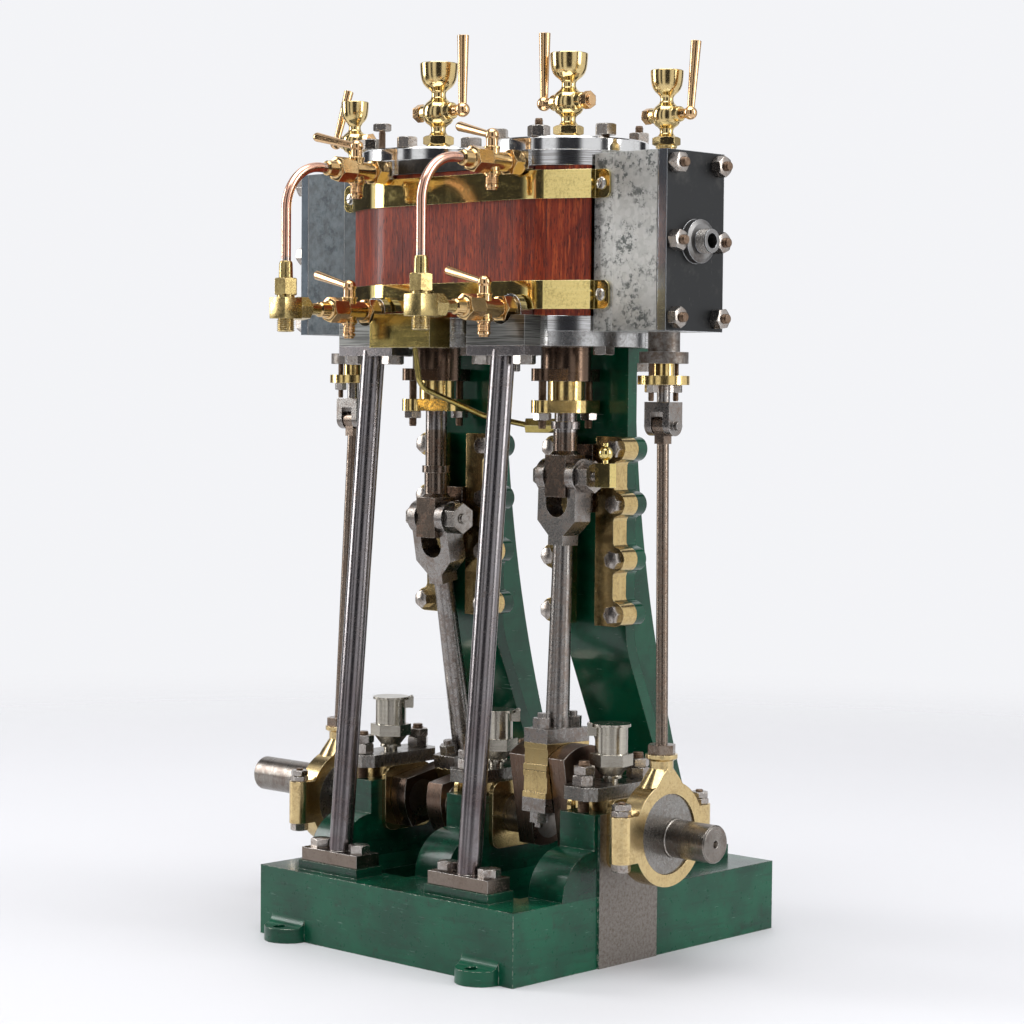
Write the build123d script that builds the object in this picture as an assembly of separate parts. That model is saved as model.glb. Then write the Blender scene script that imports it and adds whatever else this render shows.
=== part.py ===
from build123d import *
import os
from math import asin, atan2, cos, degrees, radians, sin, sqrt

# A twin-cylinder vertical marine engine, built as a model. Sizes are in millimetres.
# X runs along the crankshaft, -Y is the front with the two polished columns, +Z is up.
# The origin is under the crank axis, on the underside of the bedplate, midway between the cylinders.

# Main layout
CYLINDER_X = 37.4
SHAFT_Z = 53.7
STROKE = 44.4
ROD_LENGTH = 120.6
CRANK_LEAD = 10.0

# Clearances: a running fit, a gap between neighbours, and how far a cutter passes a face
FIT = 0.05
SEAT = 0.3
CUT = 1.0

# Crankshaft
SHAFT_RADIUS = 7.94
SHAFT_END_RADIUS = 7.6
SHAFT_CHAMFER = 0.6
CENTRE_HOLE = 1.6
CENTRE_HOLE_DEPTH = 3.0
RIGHT_OVERHANG = 19.7
LEFT_OVERHANG = 47.7
PIN_RADIUS = 6.35
WEB_THICKNESS = 8.4
WEB_WIDTH = 21.6
WEB_GAP = 13.4

# Main bearings
BEARING_WIDTH = 18.4
PEDESTAL_HALF = 20.5
PEDESTAL_TOP = SHAFT_Z + 8.3
FLARE_RADIUS = 18.5
BRASS_HALF = 12.5
BRASS_FLANGE_HALF = 14.0
BRASS_FLANGE = 2.2
BRASS_CORNER = 4.5
SPLIT_GAP = 0.3
CAP_BOTTOM = SHAFT_Z + 13.7
CAP_THICKNESS = 5.3
CAP_HALF = 22.5
CAP_CLIP = 4.0
STUD_Y = 16.7
STUD_RADIUS = 2.4
STUD_PROUD = 0.6
NUT_FLATS = 8.2
NUT_HEIGHT = 4.6
LOCK_NUT_HEIGHT = 3.7
LOCK_NUT_TURN = 17.0

# Oil cups on the bearing caps: a turned foot, a hexagon, a thin cup and a hinged lid
CUP_SEAT = CAP_BOTTOM + CAP_THICKNESS
CUP_FOOT = [(0, 3.0), (1.6, 3.0), (1.6, 4.6), (2.6, 4.6), (2.6, 4.2), (6.7, 7.4)]
CUP_HEX_BOTTOM = CUP_SEAT + 6.7
CUP_HEX_TOP = CUP_SEAT + 11.6
CUP_HEX_FLATS = 15.4
CUP_FLOOR = CUP_SEAT + 8.2
CUP_RADIUS = 6.7
CUP_WALL = 1.0
CUP_TOP = CUP_SEAT + 22.5
LID_GAP = 0.1
LID_THICKNESS = 1.2
LID_RADIUS = CUP_RADIUS + 1.2
LID_PIN_X = CUP_RADIUS + 2.2
LID_PIN_RADIUS = 0.6
LID_BARREL = 1.1
LID_TONGUE = 1.3
EAR_INNER = 1.5
EAR_OUTER = 3.0
EAR_RADIUS = 0.95
EAR_DROP = 3.6

# Bedplate
BED_HALF = CYLINDER_X + WEB_GAP / 2 + WEB_THICKNESS + SEAT + BRASS_FLANGE + BEARING_WIDTH
BED_HEIGHT = 29.3
BED_WALL = 8.0
BED_DECK = 7.0
STRIP_HALF = 18.0
STRIP_PROUD = 0.8
LUG_RADIUS = 10.0
LUG_THICKNESS = 6.0
LUG_HOLE = 5.2
LUG_INSET = 17.5
LUG_GUSSET = 4.0

# Connecting rods and crossheads
BIG_END_WIDTH = WEB_GAP - 0.7
BIG_END_DEPTH = 26.0
BIG_END_PLATE = 5.8
BIG_END_BRASS = 11.3
BIG_END_SPLIT = 0.1
BIG_END_GROOVE = 0.7
BIG_END_GROOVE_HALF = 3.2
BIG_END_BOLT_Y = 9.4
BIG_END_BOLT = 1.9
BIG_END_NUT_FLATS = 6.8
BIG_END_NUT = 4.3
BIG_END_BOLT_PROUD = 2.0
ROD_TOP_RADIUS = 4.0
ROD_FOOT_RADIUS = 5.0
HEAD_WIDTH = 11.2
HEAD_DEPTH = 12.4
HEAD_HEIGHT = 17.2
NECK_FLARE_RADIUS = 6.6
NECK_FLARE = 1.8
NECK_RADIUS = 5.0
NECK_LENGTH = 10.7
COLLAR_RADIUS = 6.0
COLLAR_HEIGHT = 3.0
PISTON_ROD_RADIUS = 4.6
PISTON_ROD_REACH = 20.0
FORK_SLOT = HEAD_WIDTH + 0.6
FORK_CHEEK = 4.4
FORK_WIDTH = FORK_SLOT + 2 * FORK_CHEEK
FORK_DEPTH = 9.6
FORK_STRAIGHT = 18.5
FORK_SHOULDER = 24.5
FORK_MOUTH = 17.0
EYE_RADIUS = 7.2
WRIST_RADIUS = 3.0
WRIST_NUT_FLATS = 11.4
WRIST_NUT = 6.0
WRIST_STUB_RADIUS = 2.2
WRIST_STUB = 1.5
WRIST_HEAD_FLATS = 8.6
WRIST_HEAD = 3.4

# The highest and the lowest place of a crosshead pin
CROSSHEAD_HIGH = SHAFT_Z + STROKE / 2 + ROD_LENGTH
CROSSHEAD_LOW = SHAFT_Z - STROKE / 2 + ROD_LENGTH

# Guides: brass keeps on the standard's face, with a groove for the slipper
SLIPPER_UP = 13.0
SLIPPER_DOWN = 15.0
SLIPPER_LIP = 3.6
SLIPPER_STEP = 4.3
SLIPPER_ARM = 4.8
SLIPPER_ARM_HALF = 7.0
KEEP_END = 2.85
KEEP_BOTTOM = CROSSHEAD_LOW - SLIPPER_DOWN - KEEP_END
KEEP_TOP = CROSSHEAD_HIGH + SLIPPER_UP + KEEP_END
KEEP_THICKNESS = 8.4
KEEP_INNER = 6.7
KEEP_GROOVE = 4.0
LOBE_X = 17.6
LOBE_RADIUS = 5.0
LOBE_PROUD = 1.1
LOBE_FILLET = 2.5
LOBE_COUNT = 4
GUIDE_BOLT_FLATS = 6.6
GUIDE_BOLT_HEAD = 3.0

# Glands and cylinder heights, each above the last, so that the highest crosshead stays clear
GLAND_FLANGE = 5.1
GLAND_BOTTOM = CROSSHEAD_HIGH + HEAD_HEIGHT / 2 + NECK_LENGTH + COLLAR_HEIGHT + 3.2
GLAND_TRAVEL = 7.8
BOX_FLANGE_Z = GLAND_BOTTOM + GLAND_FLANGE + GLAND_TRAVEL
BOX_DEPTH = 13.9
BRACKET_BOTTOM = BOX_FLANGE_Z + BOX_DEPTH
BOTTOM_COVER = 5.9
CYLINDER_BOTTOM = BRACKET_BOTTOM + BOTTOM_COVER
CYLINDER_FLANGE = 6.2
CYLINDER_TOP = CYLINDER_BOTTOM + STROKE + 27.6
FLANGE_BOTTOM_Z = CYLINDER_BOTTOM + CYLINDER_FLANGE
FLANGE_TOP_Z = CYLINDER_TOP - CYLINDER_FLANGE
COVER_THICKNESS = 5.3
COVER_TOP = CYLINDER_TOP + COVER_THICKNESS
COVER_CHAMFER = 0.6
COVER_GAP = 8.8
COVER_RADIUS = CYLINDER_X - COVER_GAP / 2
BOTTOM_COVER_RADIUS = COVER_RADIUS - 0.5
BARREL_RADIUS = 24.0
BORE_RADIUS = 19.0
COVER_BOLT_RADIUS = COVER_RADIUS - 4.0
COVER_BOLT_COUNT = 6
COVER_BOLT_FLATS = 7.9
COVER_BOLT_HEAD = 4.5
BOTTOM_NUT = 3.4
GLAND_RADIUS = 7.5
GLAND_STUD_Y = 14.2
GLAND_STUD = 1.7
GLAND_NUT_FLATS = 6.6
GLAND_NUT = 3.1
GLAND_STUD_TAIL = 6.5
OVAL_MIDDLE = 9.6
OVAL_END = 4.6
BOX_RADIUS = 10.4

# Column lugs, front columns and their plates
LUG_FRONT = -42.4
LUG_BACK = 44.0
LUG_HALF = 15.9
LUG_ROOT = 8.0
COLUMN_RADIUS = 4.9
COLUMN_FOOT_Y = -55.1
COLUMN_TOP_Y = LUG_FRONT + 4.8
FOOT_PLATE_X = 33.2
FOOT_PLATE_Y = 12.8
FOOT_PLATE = 5.4
PAD_MARGIN = 1.0
PAD_TOP = BED_HEIGHT + 3.9
HEAD_PLATE_X = 31.7
HEAD_PLATE_Y = 10.0
HEAD_PLATE = 3.9
COLUMN_BOLT_X = 11.4
COLUMN_BOLT_FLATS = 8.0
COLUMN_BOLT_HEAD = 3.6

# Back standards
STANDARD_FRONT = 20.0
STANDARD_HALF = LOBE_X - LOBE_PROUD
FLANGE_THICKNESS = 5.5
WEB_PLATE = 6.0
STANDARD_TOP = BRACKET_BOTTOM
BEND_Z = KEEP_BOTTOM - 8.2
BEND_FILLET = 40.0
FOOT_BACK = 90.0
SLOPE_FOOT_Y = FOOT_BACK - 28.1
FOOT_THICKNESS = 5.5
FOOT_BOLT_X = 10.5
HEAD_THICKNESS = 6.0
RIB_TOP_Y = LUG_BACK - 3.8
RIB_WAIST_Y = STANDARD_FRONT + 34.0
RIB_FOOT_Y = FOOT_BACK - 3.5

# The ends of the bed and of the crank pits follow from what stands and turns there
BED_FRONT = COLUMN_FOOT_Y - FOOT_PLATE_Y / 2 - 5.9
BED_BACK = FOOT_BACK + 6.2
PIT_FRONT = -STROKE / 2 - BIG_END_DEPTH / 2 - 8.8
PIT_BACK = STROKE / 2 + BIG_END_DEPTH / 2 + 6.8

# Port blocks and valve chests
BLOCK_INNER = CYLINDER_X + 30.2
BLOCK_OUTER = BLOCK_INNER + 9.6
BLOCK_NECK = 13.0
CHEST_HALF = 17.6
CHEST_BOTTOM = CYLINDER_BOTTOM
CHEST_TOP = CYLINDER_TOP - 1.7
CHEST_FACE = BLOCK_OUTER + 23.2
CHEST_WALL = 5.0
CHEST_COVER = 4.4
CHEST_NUT_Z = 5.2
CHEST_NUT_Y = 4.4
CHEST_NUT_FLATS = 7.4
CHEST_NUT = 4.4
CHEST_STUD = 2.2
INLET_BOSS = [(0, 8.6), (3.0, 8.6), (3.6, 7.0), (3.6, 4.6), (8.6, 4.6)]
INLET_BORE = 3.0

# Wooden lagging and its brass bands
LAGGING_RADIUS = COVER_RADIUS - 2.0
LAGGING_END_HALF = 20.0
LAGGING_THICKNESS = 4.0
BAND_GAP = 0.1
BAND_THICKNESS = 0.8
BAND_HEIGHT = 11.4
BAND_CORNER = 3.0
BAND_UPPER_Z = FLANGE_TOP_Z - 13.2
BAND_LOWER_Z = FLANGE_BOTTOM_Z + 2.6
BAND_END = BLOCK_OUTER - 1.0
FILLER_FRONT = COVER_RADIUS - 1.0
FILLER_DEPTH = 10.0

# Valve gear
VALVE_X = BLOCK_OUTER + 12.3
VALVE_ROD_RADIUS = 2.6
VALVE_BOX_Z = CHEST_BOTTOM - 12.6
VALVE_BOX_RADIUS = 6.4
VALVE_BOX_FLANGE = 9.8
VALVE_BOX_PLATE = 4.6
VALVE_BOX_BORE = 4.4
VALVE_GLAND_Z = VALVE_BOX_Z - 8.4
VALVE_GLAND_RADIUS = 10.4
VALVE_GLAND_PLATE = 3.6
VALVE_STUD_Y = 7.6
VALVE_STUD = 1.2
VALVE_NUT_FLATS = 4.6
CLEVIS_PIN_Z = VALVE_GLAND_Z - 16.2
CLEVIS_PIN = 1.8
CLEVIS_HALF = 6.4
CLEVIS_DEPTH = 4.1
CLEVIS_SLOT = 3.1
CLEVIS_RISE = 9.4
CLEVIS_MOUTH = 5.4
EYE_THICKNESS = 2.9
ROD_EYE = 3.6
STRAP_X = VALVE_X + 5.1
STRAP_WIDTH = 9.0
STRAP_RADIUS = 21.0
STRAP_LUG_Y = STRAP_RADIUS + 3.0
STRAP_LUG_HALF = 9.2
STRAP_LUG_ROOT = 12.0
STRAP_BOLT_FLATS = 6.8
STRAP_BOLT_HEAD = 3.4
STRAP_NUT = 5.0
SHEAVE_RADIUS = 16.0
SHEAVE_THROW = 5.2
SHEAVE_INSET = 0.8
SHEAVE_HUB = 12.0
SHEAVE_HUB_LENGTH = 8.0
STEM_BOTTOM = 16.0
STEM_NECK = 26.0
STEM_COLLAR = 30.0
STEM_TOP = 31.6
STEM_NECK_RADIUS = 4.7
STEM_COLLAR_RADIUS = 6.4
ROD_NUT_FLATS = 10.0
ROD_NUT = 3.8
ECCENTRIC_ROD_RADIUS = 2.4
SHAFT_RIGHT = STRAP_X + STRAP_WIDTH / 2 + RIGHT_OVERHANG
SHAFT_LEFT = -STRAP_X - STRAP_WIDTH / 2 - LEFT_OVERHANG

# Drain cocks and their copper pipes
COCK_LEFT_X = -CYLINDER_X
COCK_RIGHT_X = CYLINDER_X + 2.8
UPPER_COCK_Z = FLANGE_TOP_Z + 1.0
LOWER_COCK_Z = FLANGE_BOTTOM_Z + 2.6
COCK_SEAT = -COVER_RADIUS - 0.2
COCK_BOSS_HALF = 6.0
COCK_COLLAR = 3.8
COCK_GROOVE = 6.2
COCK_HEX = 7.1
COCK_HEX_FLATS = 10.0
COCK_BARREL = 11.4
COCK_BARREL_RADIUS = 3.9
COCK_UNION = 6.4
COCK_UNION_FLATS = 9.8
COCK_CONE = 7.4
COCK_CONE_RADIUS = 4.6
FERRULE_RADIUS = 2.9
PLUG_Y = COCK_SEAT - 14.8
COCK_LENGTH = COCK_HEX + COCK_BARREL + COCK_UNION + COCK_CONE
PLUG_RADIUS = 2.4
PLUG_SOCKET = 4.0
PLUG_SOCKET_UP = 5.2
PLUG_SOCKET_DOWN = 5.0
KNUCKLE_Z = 10.0
KNUCKLE_RADIUS = 2.8
PLUG_TAIL = [(5.2, 2.8), (6.2, 2.8), (6.2, 1.9), (9.4, 1.9), (9.4, 2.3), (11.6, 2.0)]
LEVER_LENGTH = 24.0
LEVER_RISE = 5.3
LEVER_ROOT = 1.3
LEVER_TIP = 2.0
NIPPLE_RADIUS = 2.6
NIPPLE_END = -BARREL_RADIUS + 3.0
PIPE_RADIUS = 2.0
PIPE_Y = -87.0
PIPE_STRAIGHT = 3.5
BLOCK_HALF = 5.2
BLOCK_HALF_Z = 4.6
BLOCK_NUT_FLATS = 8.8
BLOCK_NUT = 9.5
BLOCK_FERRULE = 5.0
BLOCK_OUTLET = 5.0
BLOCK_OUTLET_RADIUS = 3.6
BLOCK_OUTLET_BORE = 2.4

# Displacement lubricators: distances above their seats, and the size of the smaller pair
LUB_FOOT = [(0, 5.4), (1.6, 5.4), (2.8, 4.2), (5.0, 4.4), (5.7, 6.0), (9.1, 6.0), (10.4, 3.3), (13.0, 3.3)]
LUB_BALL = 17.8
LUB_BALL_RADIUS = 6.05
LUB_PLUG = 17.0
LUB_NECK = 3.0
LUB_RIM = 36.4
LUB_CUP_RADIUS = 7.8
LUB_CUP_WALL = 0.9
LUB_BOSS = 4.0
LUB_BOSS_END = 8.6
LUB_PIN = 2.2
LUB_LEVER_X = 13.6
LUB_LEVER_ROOT = 1.6
LUB_ELBOW = 3.0
LUB_NUT = 3.0
LUB_LEVER_TIP = 2.4
LUB_NUT_FLATS = 6.4

# Each lubricator: its scale, the side its lever is on (1 is +X), the lever's length and its lean
LUB_FORMS = {
    "cylinder_left": (1.05, 1, 31.3, 0.0),
    "cylinder_right": (1.0, -1, 28.9, 0.0),
    "valve_left": (0.89, -1, 24.6, -18.0),
    "valve_right": (0.89, 1, 28.4, -6.0),
}

# Drip box between the column lugs, its pipe, and the crosshead oiler
DRIP_LEFT = -CYLINDER_X + 3.4
DRIP_RIGHT = 1.2
DRIP_WALL = 0.8
DRIP_BACK = -LAGGING_RADIUS - SEAT
DRIP_TOP = FLANGE_BOTTOM_Z + 1.4
DRIP_BOTTOM = BRACKET_BOTTOM - 0.6
DRIP_PIPE_X = -14.5
DRIP_PIPE_Y = -36.0
DRIP_PIPE_RADIUS = 1.2
DRIP_PIPE_BEND = 8.0
ELBOW_Z = KEEP_TOP + 4.0
ELBOW_FLATS = 6.0
ELBOW_REACH = 16.0
ELBOW_SEAT = 4.0
OILER_X = CYLINDER_X + FORK_WIDTH / 2 + WRIST_NUT + WRIST_STUB
OILER_LENGTH = 8.0
OILER_HALF = 2.0
OILER_DOWN = 4.1
OILER_UP = 5.7
OILER_BALL = 3.0
OILER_STEM = 1.1

THROW = STROKE / 2
SIDES = {"left": -1, "right": 1}
BEARINGS = (-(BED_HALF - BEARING_WIDTH / 2), 0.0, BED_HALF - BEARING_WIDTH / 2)
LID_TURNS = dict(zip(BEARINGS, (43.0, 43.0, 223.0)))

os.makedirs("parts", exist_ok=True)


def block(x0, x1, y0, y1, z0, z1):
    """A rectangular block between two corners, given in any order."""
    centre = Pos((x0 + x1) / 2, (y0 + y1) / 2, (z0 + z1) / 2)
    return centre * Box(abs(x1 - x0), abs(y1 - y0), abs(z1 - z0))


def along(start, end):
    """The plane at start that faces end."""
    start = Vector(*start)
    return Plane(origin=start, z_dir=Vector(*end) - start)


def rod(start, end, radius):
    """A round bar between two points."""
    length = (Vector(*end) - Vector(*start)).length
    return extrude(along(start, end) * Circle(radius), length)


def taper(start, end, radius, end_radius):
    """A round bar that tapers between two points."""
    length = (Vector(*end) - Vector(*start)).length
    plane = along(start, end)
    return loft([plane * Circle(radius), plane.offset(length) * Circle(end_radius)])


def hexagon(start, end, flats, turn=0):
    """A hexagonal bar between two points, measured across its flats."""
    length = (Vector(*end) - Vector(*start)).length
    face = RegularPolygon(flats / 2, 6, major_radius=False, rotation=turn)
    return extrude(along(start, end) * face, length)


def turned(start, end, steps):
    """A turned piece: steps are (distance from start, radius) along the line to end."""
    points = [(0, steps[0][0])] + [(r, d) for d, r in steps] + [(0, steps[-1][0])]
    profile = Plane.XZ * make_face(Polyline(*points, close=True))
    return along(start, end).location * revolve(profile, Axis.Z)


def prism_z(face, z0, z1):
    """An upright prism from an outline of (x, y)."""
    return extrude(Plane.XY.offset(z0) * face, z1 - z0)


def prism_x(face, x0, x1):
    """A prism along X from an outline of (y, z)."""
    return extrude(Plane.YZ.offset(x0) * face, x1 - x0)


def write(name, *pieces):
    """Writes one named part; several pieces that don't touch stay separate solids."""
    solids = [s for p in pieces for s in p.solids()]
    shape = solids[0] if len(solids) == 1 else Compound(children=solids)
    shape.label = name
    export_step(shape, f"parts/{name}.step")


def crank_pin(side):
    """The (y, z) place of a crank pin: the right crank leads, the left one follows at 90 degrees."""
    lead = radians(CRANK_LEAD)
    if side > 0:
        return -THROW * sin(lead), SHAFT_Z + THROW * cos(lead)
    return THROW * cos(lead), SHAFT_Z + THROW * sin(lead)


def crosshead_z(side):
    y, z = crank_pin(side)
    return z + sqrt(ROD_LENGTH**2 - y**2)


def rod_place(side, z=None):
    """The place of a connecting rod's own axes at its top, or at the crank pin."""
    pin_y, pin_z = crank_pin(side)
    lean = Rot(degrees(asin(pin_y / ROD_LENGTH)), 0, 0)
    x = side * CYLINDER_X
    if z is None:
        return Pos(x, pin_y, pin_z) * lean
    return Pos(x, 0, z) * lean


def bedplate():
    """Box casting, open below, with two crank pits, three flared pedestals and four lugs."""
    bed = block(-BED_HALF, BED_HALF, BED_FRONT, BED_BACK, 0, BED_HEIGHT)
    inner = BED_HALF - BED_WALL
    rib = BEARING_WIDTH / 2
    for near, far in zip(BEARINGS, BEARINGS[1:]):
        bed -= block(near + rib, far - rib, PIT_FRONT, PIT_BACK, -CUT, BED_HEIGHT + CUT)
    for side in SIDES.values():
        hollow_top = BED_HEIGHT - BED_DECK
        bed -= block(side * rib, side * inner, BED_FRONT + BED_WALL, BED_BACK - BED_WALL, -CUT, hollow_top)
    for x in BEARINGS:
        bed += pedestal(x)
    for side in SIDES.values():
        x = side * CYLINDER_X
        pad_x = FOOT_PLATE_X / 2 + PAD_MARGIN
        pad_y = FOOT_PLATE_Y / 2 + PAD_MARGIN
        bed += block(x - pad_x, x + pad_x, COLUMN_FOOT_Y - pad_y, COLUMN_FOOT_Y + pad_y, BED_HEIGHT, PAD_TOP)
        face = side * BED_HALF
        bed += block(face, face + side * STRIP_PROUD, -STRIP_HALF, STRIP_HALF, 0, PEDESTAL_TOP)
    for x in (-BED_HALF + LUG_INSET, BED_HALF - LUG_INSET):
        for y, out in ((BED_FRONT, -1), (BED_BACK, 1)):
            bed += holding_lug(x, y, out)
            hole_y = y + out * LUG_RADIUS / 2
            bed -= rod((x, hole_y, -CUT), (x, hole_y, LUG_THICKNESS + LUG_GUSSET), LUG_HOLE / 2)
    for x in BEARINGS:
        bed -= brass_pocket(x)
    return bed


def holding_lug(x, y, out):
    """A round holding-down lug with a concave gusset up the wall of the bed."""
    radius, top = LUG_GUSSET, LUG_THICKNESS
    plate = rod((x, y, 0), (x, y, top), LUG_RADIUS)
    bow = radius * (1 - sqrt(0.5))
    edges = [
        Line((y - out, top - CUT), (y + out * radius, top - CUT)),
        Line((y + out * radius, top - CUT), (y + out * radius, top)),
        ThreePointArc((y + out * radius, top), (y + out * bow, top + bow), (y, top + radius)),
        Line((y, top + radius), (y - out, top + radius)),
        Line((y - out, top + radius), (y - out, top - CUT)),
    ]
    gusset = prism_x(make_face(edges), x - LUG_RADIUS, x + LUG_RADIUS)
    return plate + (gusset & rod((x, y, 0), (x, y, top + radius), LUG_RADIUS))


def pedestal(x):
    """A bearing pedestal: upright block with a concave flare at front and back."""
    half = PEDESTAL_HALF
    toe = half + FLARE_RADIUS
    flare_z = BED_HEIGHT + FLARE_RADIUS
    low = BED_HEIGHT - CUT
    edges = [
        Line((-half, flare_z), (-half, PEDESTAL_TOP)),
        Line((-half, PEDESTAL_TOP), (half, PEDESTAL_TOP)),
        Line((half, PEDESTAL_TOP), (half, flare_z)),
        RadiusArc((half, flare_z), (toe, BED_HEIGHT), FLARE_RADIUS),
        Line((toe, BED_HEIGHT), (toe, low)),
        Line((toe, low), (-toe, low)),
        Line((-toe, low), (-toe, BED_HEIGHT)),
        RadiusArc((-toe, BED_HEIGHT), (-half, flare_z), FLARE_RADIUS),
    ]
    return prism_x(make_face(edges), x - BEARING_WIDTH / 2, x + BEARING_WIDTH / 2)


def brass_pocket(x):
    """The square pocket in a pedestal that takes the bearing brasses."""
    reach = BEARING_WIDTH / 2 + STRIP_PROUD + CUT
    return block(x - reach, x + reach, -BRASS_HALF, BRASS_HALF, SHAFT_Z - BRASS_HALF, PEDESTAL_TOP + CUT)


def bearing_brass(x):
    """Flanged split brasses in a pedestal, bored for the shaft."""
    left = x - BEARING_WIDTH / 2 - (STRIP_PROUD if x < 0 else 0)
    right = x + BEARING_WIDTH / 2 + (STRIP_PROUD if x > 0 else 0)
    body = block(left, right, -BRASS_HALF, BRASS_HALF, SHAFT_Z - BRASS_HALF, CAP_BOTTOM)
    flange = Pos(0, SHAFT_Z) * RectangleRounded(2 * BRASS_FLANGE_HALF, 2 * BRASS_FLANGE_HALF, BRASS_CORNER)
    for start in (left - BRASS_FLANGE, right):
        body += prism_x(flange, start, start + BRASS_FLANGE)
    reach = BEARING_WIDTH
    body -= rod((x - reach, 0, SHAFT_Z), (x + reach, 0, SHAFT_Z), SHAFT_RADIUS + FIT)
    half_gap = SPLIT_GAP / 2
    split = block(x - reach, x + reach, -PEDESTAL_HALF, PEDESTAL_HALF, SHAFT_Z - half_gap, SHAFT_Z + half_gap)
    return body - split


def bearing_cap(x):
    """The flat steel cap with clipped corners, drilled for its studs."""
    plate = Rectangle(BEARING_WIDTH, 2 * CAP_HALF)
    plate = chamfer(plate.vertices(), CAP_CLIP)
    cap = prism_z(Pos(x, 0) * plate, CAP_BOTTOM, CUP_SEAT)
    for y in (-STUD_Y, STUD_Y):
        cap -= rod((x, y, CAP_BOTTOM - CUT), (x, y, CUP_SEAT + CUT), STUD_RADIUS)
    return cap


def bearing_stud(x, y):
    """A stud from the pedestal through the cap, with a nut and a thinner lock nut."""
    nut_top = CUP_SEAT + NUT_HEIGHT
    lock_top = nut_top + LOCK_NUT_HEIGHT
    stud = rod((x, y, PEDESTAL_TOP), (x, y, lock_top + STUD_PROUD), STUD_RADIUS)
    stud += hexagon((x, y, CUP_SEAT), (x, y, nut_top), NUT_FLATS)
    return stud + hexagon((x, y, nut_top), (x, y, lock_top), NUT_FLATS, LOCK_NUT_TURN)


def oil_cup(x):
    """Screwed cup with a hexagon, open at the top, with two ears that hold the lid's pin."""
    cup = turned((0, 0, CUP_SEAT), (0, 0, CUP_TOP), CUP_FOOT)
    cup += hexagon((0, 0, CUP_HEX_BOTTOM), (0, 0, CUP_HEX_TOP), CUP_HEX_FLATS)
    cup += rod((0, 0, CUP_HEX_TOP), (0, 0, CUP_TOP), CUP_RADIUS)
    cup -= rod((0, 0, CUP_FLOOR), (0, 0, CUP_TOP + CUT), CUP_RADIUS - CUP_WALL)
    pin_z = CUP_TOP + LID_THICKNESS / 2
    for hand in (-1, 1):
        y0, y1 = hand * EAR_INNER, hand * EAR_OUTER
        cup += block(CUP_RADIUS - CUP_WALL / 2, LID_PIN_X + EAR_RADIUS, y0, y1, CUP_TOP - EAR_DROP, CUP_TOP - LID_GAP)
        cup += block(LID_PIN_X - EAR_RADIUS, LID_PIN_X + EAR_RADIUS, y0, y1, CUP_TOP - EAR_DROP, pin_z)
        cup += rod((LID_PIN_X, y0, pin_z), (LID_PIN_X, y1, pin_z), EAR_RADIUS)
    cup += rod((LID_PIN_X, -EAR_OUTER, pin_z), (LID_PIN_X, EAR_OUTER, pin_z), LID_PIN_RADIUS)
    return Pos(x, 0, 0) * Rot(0, 0, LID_TURNS[x]) * cup


def oil_cup_lid(x):
    """A thin lid that turns on a pin between the cup's ears."""
    low, high = CUP_TOP + LID_GAP, CUP_TOP + LID_THICKNESS
    lid = rod((0, 0, low), (0, 0, high), LID_RADIUS)
    lid += block(CUP_RADIUS, LID_PIN_X, -LID_TONGUE, LID_TONGUE, low, high)
    pin_z = CUP_TOP + LID_THICKNESS / 2
    lid += rod((LID_PIN_X, -LID_TONGUE, pin_z), (LID_PIN_X, LID_TONGUE, pin_z), LID_BARREL)
    lid -= rod((LID_PIN_X, -EAR_OUTER, pin_z), (LID_PIN_X, EAR_OUTER, pin_z), LID_PIN_RADIUS + FIT)
    return Pos(x, 0, 0) * Rot(0, 0, LID_TURNS[x]) * lid


def crankshaft():
    """Built-up shaft: journals, two cranks at 90 degrees with their pins, and two bare ends."""
    journal = STRAP_X + STRAP_WIDTH / 2
    shaft = rod((-journal, 0, SHAFT_Z), (journal, 0, SHAFT_Z), SHAFT_RADIUS)
    for side, overhang in ((1, RIGHT_OVERHANG), (-1, LEFT_OVERHANG)):
        shaft += shaft_end(side, journal, overhang)
    for side in SIDES.values():
        x = side * CYLINDER_X
        y, z = crank_pin(side)
        gap = WEB_GAP / 2
        shaft -= rod((x - gap, 0, SHAFT_Z), (x + gap, 0, SHAFT_Z), SHAFT_RADIUS + CUT)
        reach = gap + WEB_THICKNESS
        shaft += rod((x - reach, y, z), (x + reach, y, z), PIN_RADIUS)
        for start in (x - reach, x + gap):
            shaft += crank_web(start, y, z)
    return shaft


def shaft_end(side, start, length):
    """The bare end of the shaft, turned down a little, chamfered and centre drilled."""
    edge = length - SHAFT_CHAMFER
    steps = [(0, SHAFT_END_RADIUS), (edge, SHAFT_END_RADIUS), (length, SHAFT_END_RADIUS - SHAFT_CHAMFER)]
    centre = [(length - CENTRE_HOLE_DEPTH, CENTRE_HOLE / 4), (length, CENTRE_HOLE), (length + CUT, CENTRE_HOLE)]
    near, far = (side * start, 0, SHAFT_Z), (side * (start + length), 0, SHAFT_Z)
    return turned(near, far, steps) - turned(near, far, centre)


def crank_web(x, pin_y, pin_z):
    """A flat web between shaft and pin, its ends turned about the middle of the web."""
    angle = degrees(atan2(pin_z - SHAFT_Z, pin_y))
    length = THROW + WEB_WIDTH
    outline = Rectangle(length, WEB_WIDTH) & Circle(length / 2)
    return prism_x(Pos(pin_y / 2, (pin_z + SHAFT_Z) / 2) * Rot(0, 0, angle) * outline, x, x + WEB_THICKNESS)


def lobe_heights():
    first, last = KEEP_BOTTOM + LOBE_RADIUS, KEEP_TOP - LOBE_RADIUS
    return [first + i * (last - first) / (LOBE_COUNT - 1) for i in range(LOBE_COUNT)]


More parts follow.
